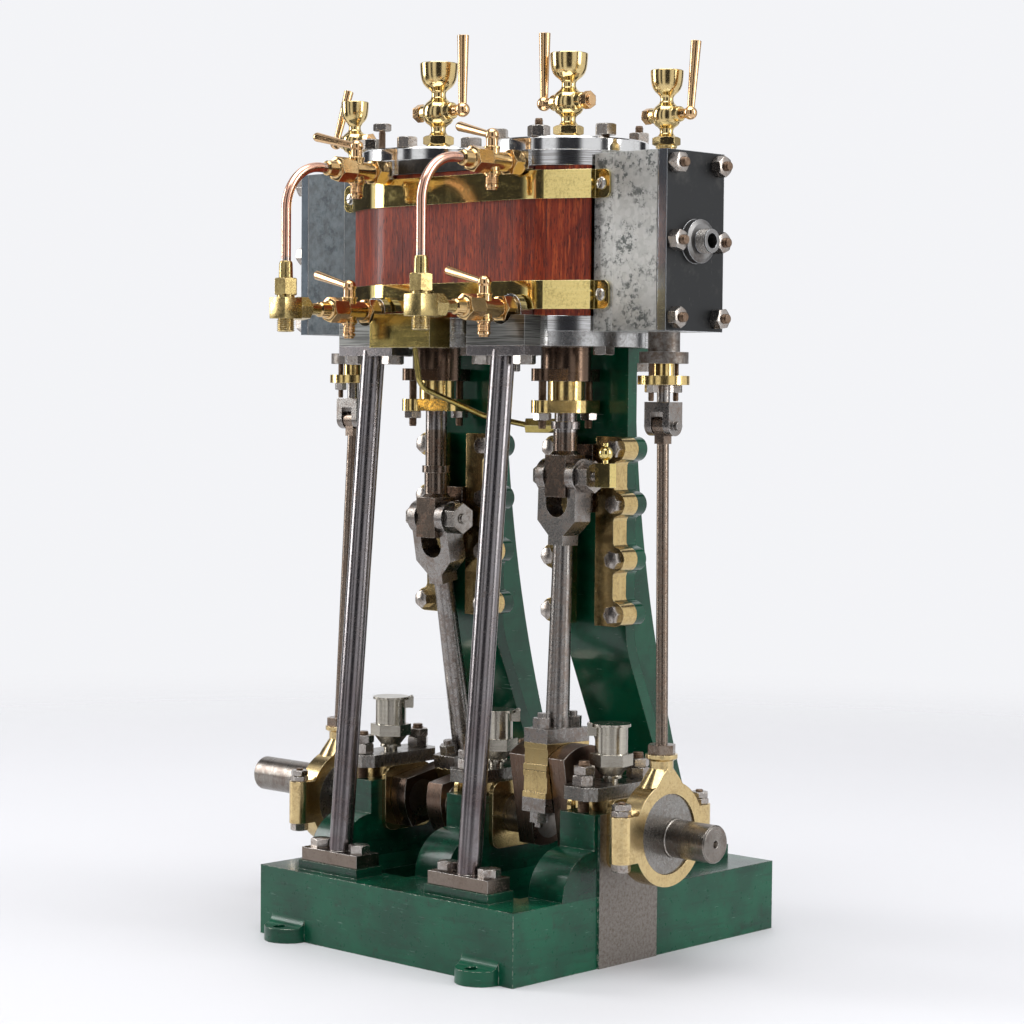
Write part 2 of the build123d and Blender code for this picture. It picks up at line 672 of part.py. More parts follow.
def scalloped(inner, hand):
    """An (x, z) outline from inner out to a scalloped edge with a lobe at each guide bolt."""
    edge, nose = LOBE_X - LOBE_PROUD, LOBE_X + LOBE_RADIUS
    reach, dx = LOBE_RADIUS + LOBE_FILLET, LOBE_FILLET - LOBE_PROUD
    dz = sqrt(reach**2 - dx**2)
    touch_x, touch_z = LOBE_X + dx * LOBE_RADIUS / reach, dz * LOBE_RADIUS / reach
    turn = atan2(dz, dx) / 2
    bow_x, bow_z = edge + LOBE_FILLET * (1 - cos(turn)), dz - LOBE_FILLET * sin(turn)
    heights = lobe_heights()
    start = (hand * LOBE_X, KEEP_BOTTOM)
    edges = [Line((hand * inner, KEEP_TOP), (hand * inner, KEEP_BOTTOM)), Line((hand * inner, KEEP_BOTTOM), start)]
    for z in heights[:-1]:
        touch, foot = (hand * touch_x, z + touch_z), (hand * edge, z + dz)
        edges.append(ThreePointArc(start, (hand * nose, z), touch))
        edges.append(ThreePointArc(touch, (hand * bow_x, z + bow_z), foot))
        z = heights[heights.index(z) + 1]
        start = (hand * touch_x, z - touch_z)
        edges.append(Line(foot, (hand * edge, z - dz)))
        edges.append(ThreePointArc((hand * edge, z - dz), (hand * bow_x, z - bow_z), start))
    end = (hand * LOBE_X, KEEP_TOP)
    edges.append(ThreePointArc(start, (hand * nose, heights[-1]), end))
    return make_face(edges + [Line(end, (hand * inner, KEEP_TOP))])


def prism_y(face, y0, y1):
    """A prism along Y from an outline of (x, z)."""
    return extrude(Plane.XZ.offset(-y1) * face, y1 - y0)


def standard(side):
    """Cast back standard: a T section that sweeps back from the guide face to its foot."""
    x = side * CYLINDER_X
    front = STANDARD_FRONT
    back = front + FLANGE_THICKNESS
    low, high = x - STANDARD_HALF, x + STANDARD_HALF
    face = make_face(
        Polyline(
            (front, STANDARD_TOP),
            (front, BEND_Z),
            (SLOPE_FOOT_Y, BED_HEIGHT),
            (SLOPE_FOOT_Y + FLANGE_THICKNESS + 1, BED_HEIGHT),
            (back, BEND_Z + 1),
            (back, STANDARD_TOP),
            close=True,
        )
    )
    face = fillet([v for v in face.vertices() if abs(v.Y - BEND_Z) < FIT], BEND_FILLET)
    face = fillet([v for v in face.vertices() if abs(v.Y - BEND_Z - 1) < FIT], BEND_FILLET - FLANGE_THICKNESS)
    body = prism_x(face, low, high)
    body += rib(x, back)
    body += block(low, high, SLOPE_FOOT_Y - 2, FOOT_BACK, BED_HEIGHT, BED_HEIGHT + FOOT_THICKNESS)
    body += block(low, high, front, LUG_BACK, STANDARD_TOP - HEAD_THICKNESS, STANDARD_TOP)
    for hand in (-1, 1):
        body += Pos(x, 0, 0) * prism_y(scalloped(0, hand), front, back)
    return body


def rib(x, back):
    """The upright rib behind the flange, with a hollow curve down to the foot."""
    top, foot = STANDARD_TOP - HEAD_THICKNESS / 2, BED_HEIGHT + FOOT_THICKNESS / 2
    edges = [
        Line((back - 1, foot), (back - 1, top)),
        Line((back - 1, top), (RIB_TOP_Y, top)),
        ThreePointArc((RIB_TOP_Y, top), (RIB_WAIST_Y, BEND_Z + LOBE_RADIUS), (RIB_FOOT_Y, foot)),
        Line((RIB_FOOT_Y, foot), (back - 1, foot)),
    ]
    plate = prism_x(make_face(edges), x - WEB_PLATE / 2, x + WEB_PLATE / 2)
    in_front = Polyline(
        (0, STANDARD_TOP),
        (back - 1, STANDARD_TOP),
        (back - 1, BEND_Z),
        (SLOPE_FOOT_Y + FLANGE_THICKNESS, BED_HEIGHT),
        (0, BED_HEIGHT),
        close=True,
    )
    return plate - prism_x(make_face(in_front), x - WEB_PLATE, x + WEB_PLATE)


def standard_bolts(side):
    """Two bolts through the standard's foot and two through its head into the cylinder's lug."""
    x = side * CYLINDER_X
    foot_top = BED_HEIGHT + FOOT_THICKNESS
    head_bottom = STANDARD_TOP - HEAD_THICKNESS
    bolts = []
    for step in (-FOOT_BOLT_X, FOOT_BOLT_X):
        foot_y = (SLOPE_FOOT_Y + FLANGE_THICKNESS + FOOT_BACK) / 2
        low, high = (x + step, foot_y, foot_top), (x + step, foot_y, foot_top + COLUMN_BOLT_HEAD)
        bolts.append(hexagon(low, high, COLUMN_BOLT_FLATS))
        head_y = (STANDARD_FRONT + FLANGE_THICKNESS + LUG_BACK) / 2
        low, high = (x + step, head_y, head_bottom), (x + step, head_y, head_bottom - COLUMN_BOLT_HEAD)
        bolts.append(hexagon(low, high, COLUMN_BOLT_FLATS))
    return bolts


def guide_keep(side, hand):
    """A brass keep strip with four scalloped bolt lobes and a groove for the slipper."""
    front = STANDARD_FRONT - KEEP_THICKNESS
    strip = prism_y(scalloped(KEEP_INNER, hand), front, STANDARD_FRONT)
    inner = hand * (KEEP_INNER - CUT)
    groove = hand * (KEEP_INNER + KEEP_GROOVE)
    strip -= block(inner, groove, front + KEEP_GROOVE, STANDARD_FRONT + CUT, KEEP_BOTTOM - CUT, KEEP_TOP + CUT)
    return Pos(side * CYLINDER_X, 0, 0) * strip


def guide_bolts(side):
    front = STANDARD_FRONT - KEEP_THICKNESS
    places = [(side * CYLINDER_X + hand * LOBE_X, z) for hand in (-1, 1) for z in lobe_heights()]
    return [hexagon((x, front, z), (x, front - GUIDE_BOLT_HEAD, z), GUIDE_BOLT_FLATS) for x, z in places]


def column(side):
    """A polished round column, square foot plate below and a plate under the cylinder lug."""
    x = side * CYLINDER_X
    half_x, half_y = FOOT_PLATE_X / 2, FOOT_PLATE_Y / 2
    foot_top = PAD_TOP + FOOT_PLATE
    head_z = BRACKET_BOTTOM - HEAD_PLATE
    body = block(x - half_x, x + half_x, COLUMN_FOOT_Y - half_y, COLUMN_FOOT_Y + half_y, PAD_TOP, foot_top)
    half_x = HEAD_PLATE_X / 2
    body += block(x - half_x, x + half_x, LUG_FRONT, LUG_FRONT + HEAD_PLATE_Y, head_z, BRACKET_BOTTOM)
    foot = (x, COLUMN_FOOT_Y, foot_top - FOOT_PLATE / 2)
    head = (x, COLUMN_TOP_Y, head_z + HEAD_PLATE / 2)
    return body + rod(foot, head, COLUMN_RADIUS)


def column_bolts(side):
    foot_top = PAD_TOP + FOOT_PLATE
    head_z = BRACKET_BOTTOM - HEAD_PLATE
    head_y = LUG_FRONT + HEAD_PLATE_Y / 2
    bolts = []
    for step in (-COLUMN_BOLT_X, COLUMN_BOLT_X):
        x = side * CYLINDER_X + step
        low, high = (x, COLUMN_FOOT_Y, foot_top), (x, COLUMN_FOOT_Y, foot_top + COLUMN_BOLT_HEAD)
        bolts.append(hexagon(low, high, COLUMN_BOLT_FLATS))
        low, high = (x, head_y, head_z), (x, head_y, head_z - COLUMN_BOLT_HEAD)
        bolts.append(hexagon(low, high, COLUMN_BOLT_FLATS))
    return bolts


def cylinder(side):
    """Cylinder casting: barrel, end flanges, two lugs, cock bosses, neck and port block."""
    x = side * CYLINDER_X
    body = rod((x, 0, CYLINDER_BOTTOM), (x, 0, CYLINDER_TOP), BARREL_RADIUS)
    body += rod((x, 0, FLANGE_TOP_Z), (x, 0, CYLINDER_TOP), COVER_RADIUS)
    body += rod((x, 0, CYLINDER_BOTTOM), (x, 0, FLANGE_BOTTOM_Z), COVER_RADIUS)
    inner, outer = side * BLOCK_INNER, side * BLOCK_OUTER
    body += block(x, outer, -BLOCK_NECK, BLOCK_NECK, CYLINDER_BOTTOM, CHEST_TOP)
    body += block(inner, outer, -CHEST_HALF, CHEST_HALF, CHEST_BOTTOM, CHEST_TOP)
    for y0, y1 in ((LUG_FRONT, -LUG_ROOT), (LUG_ROOT, LUG_BACK)):
        body += block(x - LUG_HALF, x + LUG_HALF, y0, y1, BRACKET_BOTTOM, FLANGE_BOTTOM_Z)
    for cock_x, z, out, low, high in cock_bosses(side):
        face, half = COCK_SEAT - out, COCK_BOSS_HALF
        body += block(cock_x - half, cock_x + half, face, -BARREL_RADIUS, low, high)
        if out:
            body += rod((cock_x, COCK_SEAT, z), (cock_x, face, z), half)
            body -= rod((cock_x, face, z), (cock_x, LUG_FRONT - CUT, z), COCK_GROOVE)
    body -= rod((x, 0, BRACKET_BOTTOM - CUT), (x, 0, CYLINDER_BOTTOM), COVER_RADIUS - SEAT)
    body -= rod((x, 0, CYLINDER_BOTTOM - CUT), (x, 0, CYLINDER_TOP + CUT), BORE_RADIUS)
    for hole in nipple_holes():
        body -= hole
    return body


def cock_bosses(side):
    """The (x, z, out) of a cylinder's two cocks, each with the low and high end of its boss."""
    upper, lower = [COCKS[f"{row}_{'right' if side > 0 else 'left'}"] for row in ("upper", "lower")]
    upper_low = BAND_UPPER_Z + BAND_HEIGHT + SEAT
    return (*upper, upper_low, CYLINDER_TOP), (*lower, CYLINDER_BOTTOM, BAND_LOWER_Z - SEAT)


def nipple_holes():
    """The holes that the drain cocks' nipples pass through."""
    radius, inside = NIPPLE_RADIUS + FIT, NIPPLE_END + 2 * FIT
    return [rod((x, inside, z), (x, COCK_SEAT - out - CUT, z), radius) for x, z, out in COCKS.values()]


def cylinder_cover(side):
    x = side * CYLINDER_X
    cover = rod((x, 0, CYLINDER_TOP), (x, 0, COVER_TOP), COVER_RADIUS)
    return chamfer(cover.edges().filter_by(GeomType.CIRCLE).sort_by(Axis.Z)[-1:], COVER_CHAMFER)


def bolt_circle(side):
    """The (x, y) places of the fasteners round a cylinder cover."""
    step = 360 / COVER_BOLT_COUNT
    angles = [radians(45 + i * step) for i in range(COVER_BOLT_COUNT)]
    return [(side * CYLINDER_X + COVER_BOLT_RADIUS * cos(a), COVER_BOLT_RADIUS * sin(a)) for a in angles]


def cover_bolts(side):
    """Heads on the top cover, and nuts under the bottom one where no lug is in the way."""
    bolts = []
    for x, y in bolt_circle(side):
        bolts.append(hexagon((x, y, COVER_TOP), (x, y, COVER_TOP + COVER_BOLT_HEAD), COVER_BOLT_FLATS))
        beside = LUG_HALF if y < 0 else STANDARD_HALF + COVER_BOLT_FLATS / 2
        if abs(x - side * CYLINDER_X) > beside + COVER_BOLT_FLATS / 2:
            bolts.append(hexagon((x, y, BRACKET_BOTTOM), (x, y, BRACKET_BOTTOM - BOTTOM_NUT), COVER_BOLT_FLATS))
    return bolts


def bottom_cover(side):
    """Bottom cover with the stuffing box and its oval flange."""
    x = side * CYLINDER_X
    cover = rod((x, 0, BRACKET_BOTTOM), (x, 0, CYLINDER_BOTTOM), BOTTOM_COVER_RADIUS)
    cover += rod((x, 0, BOX_FLANGE_Z), (x, 0, BRACKET_BOTTOM), BOX_RADIUS)
    cover += oval_flange(x, BOX_FLANGE_Z)
    cover -= rod((x, 0, BOX_FLANGE_Z - CUT), (x, 0, CYLINDER_BOTTOM + CUT), GLAND_RADIUS + FIT)
    return cover


def oval_flange(x, z):
    """An oval two-bolt flange: a round middle joined to two small round ends along Y."""
    ends = [Pos(0, y) * Circle(OVAL_END) for y in (-GLAND_STUD_Y, GLAND_STUD_Y)]
    face = make_hull((Circle(OVAL_MIDDLE) + ends).edges())
    return prism_z(Pos(x, 0) * face, z, z + GLAND_FLANGE)


def gland(side):
    """Brass gland: a tube into the stuffing box and an oval flange below."""
    x = side * CYLINDER_X
    inside = BOX_FLANGE_Z + GLAND_FLANGE
    body = oval_flange(x, GLAND_BOTTOM) + rod((x, 0, GLAND_BOTTOM), (x, 0, inside), GLAND_RADIUS)
    body -= rod((x, 0, GLAND_BOTTOM - CUT), (x, 0, inside + CUT), PISTON_ROD_RADIUS + FIT)
    for y in (-GLAND_STUD_Y, GLAND_STUD_Y):
        body -= rod((x, y, GLAND_BOTTOM - CUT), (x, y, GLAND_BOTTOM + GLAND_FLANGE + CUT), GLAND_STUD)
    return body


def gland_studs(side):
    x = side * CYLINDER_X
    studs = []
    for y in (-GLAND_STUD_Y, GLAND_STUD_Y):
        stud = rod((x, y, GLAND_BOTTOM - GLAND_STUD_TAIL), (x, y, BOX_FLANGE_Z), GLAND_STUD)
        studs.append(stud + hexagon((x, y, GLAND_BOTTOM), (x, y, GLAND_BOTTOM - GLAND_NUT), GLAND_NUT_FLATS))
    x = side * VALVE_X
    for y in (-VALVE_STUD_Y, VALVE_STUD_Y):
        stud = rod((x, y, VALVE_GLAND_Z - GLAND_STUD_TAIL), (x, y, VALVE_BOX_Z), VALVE_STUD)
        studs.append(stud + hexagon((x, y, VALVE_GLAND_Z), (x, y, VALVE_GLAND_Z - GLAND_NUT), VALVE_NUT_FLATS))
    return studs


def wrap(offset, reach):
    """The outline round both cylinders at an offset from the wood's face, reaching to x = reach."""
    corners = Rectangle(2 * reach, 2 * (LAGGING_END_HALF + offset))
    barrels = [Pos(x, 0) * Circle(LAGGING_RADIUS + offset) for x in (-CYLINDER_X, CYLINDER_X)]
    return make_hull((corners.edges() + barrels[0].edges() + barrels[1].edges()))


def lagging():
    """Wooden lagging wrapped round both cylinders, open at the port blocks and round the bosses."""
    z0, z1 = FLANGE_BOTTOM_Z, FLANGE_TOP_Z - SEAT / 3
    outer = prism_z(wrap(0, BLOCK_INNER), z0, z1)
    inner = prism_z(wrap(-LAGGING_THICKNESS, BLOCK_OUTER), z0 - CUT, z1 + CUT)
    end = BLOCK_INNER - SEAT
    wood = (outer - inner) & block(-end, end, -COVER_RADIUS, COVER_RADIUS, z0, z1)
    for side in SIDES.values():
        for x, z, out, low, high in cock_bosses(side):
            half = COCK_BOSS_HALF + SEAT
            wood -= block(x - half, x + half, -COVER_RADIUS - CUT, -LUG_ROOT, low - SEAT, high + SEAT)
    for hole in nipple_holes():
        wood -= hole
    return wood


def band(z):
    """A brass band round the lagging, its round ends screwed to the port blocks."""
    layers = []
    for offset in (BAND_GAP + BAND_THICKNESS, BAND_GAP):
        ends = Rectangle(2 * BLOCK_OUTER, 2 * (CHEST_HALF + offset))
        layers.append(prism_z(wrap(offset, BLOCK_INNER + offset) + ends, z, z + BAND_HEIGHT))
    front = Pos(0, z + BAND_HEIGHT / 2) * RectangleRounded(2 * BAND_END, BAND_HEIGHT, BAND_CORNER)
    strip = (layers[0] - layers[1]) & prism_y(front, -2 * COVER_RADIUS, 2 * COVER_RADIUS)
    for hole in nipple_holes():
        strip -= hole
    return strip


def fillers():
    """Dark filler pieces at front and back, between the top flanges of the two cylinders."""
    pieces = []
    for side in (-1, 1):
        filler = block(
            -CYLINDER_X,
            CYLINDER_X,
            side * FILLER_FRONT,
            side * (FILLER_FRONT - FILLER_DEPTH),
            FLANGE_TOP_Z,
            CYLINDER_TOP - SEAT,
        )
        for x in (-CYLINDER_X, CYLINDER_X):
            filler -= rod((x, 0, FLANGE_TOP_Z - CUT), (x, 0, CYLINDER_TOP), COVER_RADIUS + FIT)
        middle = filler.solids().sort_by(SortBy.VOLUME)[-1]
        half = CYLINDER_X - COCK_BOSS_HALF - SEAT
        pieces.append(middle & block(-half, half, -CYLINDER_X, CYLINDER_X, FLANGE_TOP_Z, CYLINDER_TOP))
    return pieces


def chest(side):
    """Slide valve chest bolted to the port block, with the stuffing box for its rod below."""
    inner, outer = side * BLOCK_OUTER, side * CHEST_FACE
    body = block(inner, outer, -CHEST_HALF, CHEST_HALF, CHEST_BOTTOM, CHEST_TOP)
    half = CHEST_HALF - CHEST_WALL
    low, high = CHEST_BOTTOM + CHEST_WALL, CHEST_TOP - CHEST_WALL
    body -= block(inner + side * CHEST_WALL, outer + side * CUT, -half, half, low, high)
    x = side * VALVE_X
    body += rod((x, 0, VALVE_BOX_Z), (x, 0, CHEST_BOTTOM), VALVE_BOX_RADIUS)
    body += rod((x, 0, VALVE_BOX_Z), (x, 0, VALVE_BOX_Z + VALVE_BOX_PLATE), VALVE_BOX_FLANGE)
    body -= rod((x, 0, VALVE_BOX_Z - CUT), (x, 0, low + CUT), VALVE_BOX_BORE)
    return body


def chest_cover(side):
    """Chest cover plate with the round boss of the steam inlet."""
    near, face = side * CHEST_FACE, side * (CHEST_FACE + CHEST_COVER)
    body = block(near, face, -CHEST_HALF, CHEST_HALF, CHEST_BOTTOM, CHEST_TOP)
    z = (CHEST_BOTTOM + CHEST_TOP) / 2
    body += turned((face, 0, z), (face + side, 0, z), INLET_BOSS)
    reach = INLET_BOSS[-1][0] + CUT
    return body - rod((near - side, 0, z), (face + side * reach, 0, z), INLET_BORE)


def chest_nuts(side):
    face = side * (CHEST_FACE + CHEST_COVER)
    nuts = []
    for z in (CHEST_BOTTOM + CHEST_NUT_Z, (CHEST_BOTTOM + CHEST_TOP) / 2, CHEST_TOP - CHEST_NUT_Z):
        for y in (-CHEST_HALF + CHEST_NUT_Y, CHEST_HALF - CHEST_NUT_Y):
            nut = hexagon((face, y, z), (face + side * CHEST_NUT, y, z), CHEST_NUT_FLATS)
            nuts.append(nut + rod((face, y, z), (face + side * (CHEST_NUT + CHEST_STUD), y, z), CHEST_STUD))
    return nuts


def valve_gland(side):
    x = side * VALVE_X
    inside = VALVE_BOX_Z + VALVE_BOX_PLATE
    plate_top = VALVE_GLAND_Z + VALVE_GLAND_PLATE
    body = rod((x, 0, VALVE_GLAND_Z), (x, 0, plate_top), VALVE_GLAND_RADIUS)
    body += rod((x, 0, VALVE_GLAND_Z), (x, 0, inside), VALVE_BOX_BORE - FIT)
    body -= rod((x, 0, VALVE_GLAND_Z - CUT), (x, 0, inside + CUT), VALVE_ROD_RADIUS + FIT)
    for y in (-VALVE_STUD_Y, VALVE_STUD_Y):
        body -= rod((x, y, VALVE_GLAND_Z - CUT), (x, y, plate_top + CUT), VALVE_STUD)
    return body


def crosshead(side):
    """Piston rod, neck and crosshead block with the arm and slipper that run in the guides."""
    x = side * CYLINDER_X
    z = crosshead_z(side)
    top = z + HEAD_HEIGHT / 2
    half_x, half_y = HEAD_WIDTH / 2, HEAD_DEPTH / 2
    body = block(x - half_x, x + half_x, -half_y, half_y, z - HEAD_HEIGHT / 2, top)
    neck = [
        (0, NECK_FLARE_RADIUS),
        (NECK_FLARE, NECK_RADIUS),
        (NECK_LENGTH, NECK_RADIUS),
        (NECK_LENGTH, COLLAR_RADIUS),
        (NECK_LENGTH + COLLAR_HEIGHT, COLLAR_RADIUS),
    ]
    body += turned((x, 0, top), (x, 0, CYLINDER_TOP), neck)
    body += rod((x, 0, top), (x, 0, CYLINDER_BOTTOM + PISTON_ROD_REACH), PISTON_ROD_RADIUS)
    keep_front = STANDARD_FRONT - KEEP_THICKNESS
    arm, arm_z = SLIPPER_ARM, SLIPPER_ARM_HALF
    body += block(x - arm, x + arm, half_y - CUT, keep_front, z - arm_z, z + arm_z)
    low, high = z - SLIPPER_DOWN, z + SLIPPER_UP
    narrow = KEEP_INNER - SEAT
    wide = KEEP_INNER + KEEP_GROOVE - SEAT
    step = keep_front + KEEP_GROOVE + SEAT
    body += block(x - narrow, x + narrow, keep_front - 2 * CUT, step + CUT, low, high)
    body += block(x - wide, x + wide, step, STANDARD_FRONT - SEAT, low, high)
    return body - rod((x - HEAD_WIDTH, 0, z), (x + HEAD_WIDTH, 0, z), WRIST_RADIUS + FIT)


def wrist_pin(side):
    """The pin through fork and crosshead, a plain head on its left and a big nut on its right."""
    x = side * CYLINDER_X
    z = crosshead_z(side)
    reach = FORK_WIDTH / 2 + SEAT
    nut_end = x + reach + WRIST_NUT
    pin = rod((x - reach, 0, z), (x + reach, 0, z), WRIST_RADIUS)
    pin += hexagon((x + reach, 0, z), (nut_end, 0, z), WRIST_NUT_FLATS)
    pin += rod((nut_end, 0, z), (nut_end + WRIST_STUB - SEAT, 0, z), WRIST_STUB_RADIUS)
    return pin + hexagon((x - reach, 0, z), (x - reach - WRIST_HEAD, 0, z), WRIST_HEAD_FLATS)


def connecting_rod(side):
    """Forked rod: two eyes, a U-shaped mouth, a tapering shank and a flat foot."""
    half_x, half_y = BIG_END_WIDTH / 2, BIG_END_DEPTH / 2
    foot = -ROD_LENGTH + BIG_END_BRASS
    plate = block(-half_x, half_x, -half_y, half_y, foot, foot + BIG_END_PLATE)
    shank = taper((0, 0, -FORK_SHOULDER), (0, 0, foot + BIG_END_PLATE / 2), ROD_TOP_RADIUS, ROD_FOOT_RADIUS)
    return rod_place(side, crosshead_z(side)) * (fork() + shank + plate)


def fork():
    """The fork about its own pin axis: sloping shoulders, round cheeks and a round-bottomed slot."""
    half, deep, mouth = FORK_WIDTH / 2, FORK_DEPTH / 2, FORK_SLOT / 2
    tail = FORK_SHOULDER + ROD_TOP_RADIUS
    outline = Polyline(
        (-half, 0),
        (-half, -FORK_STRAIGHT),
        (-ROD_TOP_RADIUS, -FORK_SHOULDER),
        (-ROD_TOP_RADIUS, -tail),
        (ROD_TOP_RADIUS, -tail),
        (ROD_TOP_RADIUS, -FORK_SHOULDER),
        (half, -FORK_STRAIGHT),
        (half, 0),
        close=True,
    )
    body = prism_y(make_face(outline), -deep, deep) + rod((-half, 0, 0), (half, 0, 0), EYE_RADIUS)
    round_z = mouth - FORK_MOUTH
    body -= block(-mouth, mouth, -2 * deep, 2 * deep, round_z, 2 * EYE_RADIUS)
    body -= rod((0, -2 * deep, round_z), (0, 2 * deep, round_z), mouth)
    return body - rod((-2 * half, 0, 0), (2 * half, 0, 0), WRIST_RADIUS + FIT)


def big_end(side):
    """Two brasses round the crank pin, with raised edges between shallow grooves."""
    half_x, half_y = BIG_END_WIDTH / 2, BIG_END_DEPTH / 2
    low, high = BIG_END_SPLIT, BIG_END_BRASS - FIT / 2
    upper = block(-half_x, half_x, -half_y, half_y, low, high)
    middle = (low + high) / 2
    for face in (-half_y, half_y):
        y0, y1 = face - BIG_END_GROOVE, face + BIG_END_GROOVE
        upper -= block(-half_x, half_x, y0, y1, middle - BIG_END_GROOVE_HALF, middle + BIG_END_GROOVE_HALF)
    upper -= rod((-BIG_END_WIDTH, 0, 0), (BIG_END_WIDTH, 0, 0), PIN_RADIUS + FIT)
    return [rod_place(side) * upper, rod_place(side) * mirror(upper, Plane.XY)]


def big_end_keep(side):
    """Steel keep under the brasses and the two long bolts with their nuts."""
    half_x, half_y = BIG_END_WIDTH / 2, BIG_END_DEPTH / 2
    top = BIG_END_BRASS + BIG_END_PLATE
    keep = block(-half_x, half_x, -half_y, half_y, -top, -BIG_END_BRASS)
    nuts = []
    for y in (-BIG_END_BOLT_Y, BIG_END_BOLT_Y):
        nut = hexagon((0, y, top + FIT / 2), (0, y, top + BIG_END_NUT), BIG_END_NUT_FLATS)
        nut += rod((0, y, top + FIT / 2), (0, y, top + BIG_END_NUT + BIG_END_BOLT_PROUD), BIG_END_BOLT)
        nuts.append(nut)
        keep += mirror(nut, Plane.XY) + rod((0, y, -top - CUT), (0, y, -top + CUT), BIG_END_BOLT)
    return [rod_place(side) * p for p in [keep] + nuts]


def eccentric_centre(side):
    """The (y, z) centre of a sheave, a right angle and a little more ahead of its crank."""
    along_y, along_z = 0.9 * SHEAVE_THROW, 0.43 * SHEAVE_THROW
    if side > 0:
        return -along_y, SHAFT_Z + along_z
    return -along_z, SHAFT_Z - along_y


def sheave(side):
    """Eccentric sheave, bored off its centre to sit on the shaft, with a hub on its inner side."""
    y, z = eccentric_centre(side)
    x = side * STRAP_X
    inner = x - side * STRAP_WIDTH / 2
    outer = x + side * (STRAP_WIDTH / 2 - SHEAVE_INSET)
    body = rod((inner, y, z), (outer, y, z), SHEAVE_RADIUS)
    body += rod((inner, 0, SHAFT_Z), (inner - side * SHEAVE_HUB_LENGTH, 0, SHAFT_Z), SHEAVE_HUB)
    reach = STRAP_WIDTH + SHEAVE_HUB_LENGTH
    return body - rod((x - reach, 0, SHAFT_Z), (x + reach, 0, SHAFT_Z), SHAFT_RADIUS + FIT / 2)


def strap(side):
    """Eccentric strap with round-nosed bolted lugs and a stem up to the eccentric rod."""
    y, z = eccentric_centre(side)
    half = STRAP_WIDTH / 2
    x = side * STRAP_X
    body = rod((x - half, y, z), (x + half, y, z), STRAP_RADIUS)
    low, high = z - STRAP_LUG_HALF, z + STRAP_LUG_HALF
    for hand in (-1, 1):
        lug_y = y + hand * STRAP_LUG_Y
        body += rod((x, lug_y, low), (x, lug_y, high), half)
        body += block(x - half, x + half, y + hand * STRAP_LUG_ROOT, lug_y, low, high)
    flare = taper((x, y, z + STEM_BOTTOM), (x, y, z + STEM_NECK), STEM_BOTTOM - half, STEM_NECK_RADIUS)
    flare &= block(x - half, x + half, y - STRAP_RADIUS, y + STRAP_RADIUS, z, z + STEM_TOP)
    body += flare
    stem = [
        (STEM_NECK - CUT, STEM_NECK_RADIUS),
        (STEM_COLLAR - CUT, STEM_NECK_RADIUS),
        (STEM_COLLAR, STEM_COLLAR_RADIUS),
        (STEM_TOP, STEM_COLLAR_RADIUS),
    ]
    body += turned((x, y, z), (x, y, z + STEM_TOP), stem)
    return body - rod((x - STRAP_WIDTH, y, z), (x + STRAP_WIDTH, y, z), SHEAVE_RADIUS + FIT)


def strap_bolts(side):
    y, z = eccentric_centre(side)
    x = side * STRAP_X
    bolts = []
    for hand in (-1, 1):
        lug_y = y + hand * STRAP_LUG_Y
        high, low = z + STRAP_LUG_HALF, z - STRAP_LUG_HALF
        bolts.append(hexagon((x, lug_y, high), (x, lug_y, high + STRAP_NUT), STRAP_BOLT_FLATS))
        bolts.append(hexagon((x, lug_y, low), (x, lug_y, low - STRAP_BOLT_HEAD), STRAP_BOLT_FLATS))
    return bolts


def eccentric_rod(side):
    """Slender rod from the strap's stem up to its eye in the valve rod clevis."""
    y, z = eccentric_centre(side)
    x, top_x = side * STRAP_X, side * VALVE_X
    low, nut_top = z + STEM_TOP, z + STEM_TOP + ROD_NUT
    body = hexagon((x, y, low), (x, y, nut_top), ROD_NUT_FLATS)
    body += rod((x, y, low + ROD_NUT / 2), (top_x, 0, CLEVIS_PIN_Z - 2 * ROD_EYE + 1), ECCENTRIC_ROD_RADIUS)
    thin, tall = EYE_THICKNESS, 2 * ROD_EYE
    body += rod((top_x - thin, 0, CLEVIS_PIN_Z), (top_x + thin, 0, CLEVIS_PIN_Z), ROD_EYE)
    flat = ECCENTRIC_ROD_RADIUS
    body += block(top_x - flat, top_x + flat, -flat, flat, CLEVIS_PIN_Z - tall, CLEVIS_PIN_Z)
    return body - rod((top_x - tall, 0, CLEVIS_PIN_Z), (top_x + tall, 0, CLEVIS_PIN_Z), CLEVIS_PIN + FIT)


def valve_rod(side):
    """Valve rod with a clevis, rounded about its pin, and the pin."""
    x, z = side * VALVE_X, CLEVIS_PIN_Z
    body = block(x - CLEVIS_HALF, x + CLEVIS_HALF, -CLEVIS_DEPTH, CLEVIS_DEPTH, z, z + CLEVIS_RISE)
    body += rod((x - CLEVIS_HALF, 0, z), (x + CLEVIS_HALF, 0, z), CLEVIS_DEPTH)
    slot = CLEVIS_SLOT
    body -= block(x - slot, x + slot, -CLEVIS_HALF, CLEVIS_HALF, z - CLEVIS_HALF, z + CLEVIS_MOUTH)
    body += rod((x, 0, z + CLEVIS_RISE - CUT), (x, 0, CHEST_BOTTOM + PISTON_ROD_REACH), VALVE_ROD_RADIUS)
    pin = CLEVIS_HALF + 2 * CUT
    return body + rod((x - pin, 0, z), (x + pin, 0, z), CLEVIS_PIN)


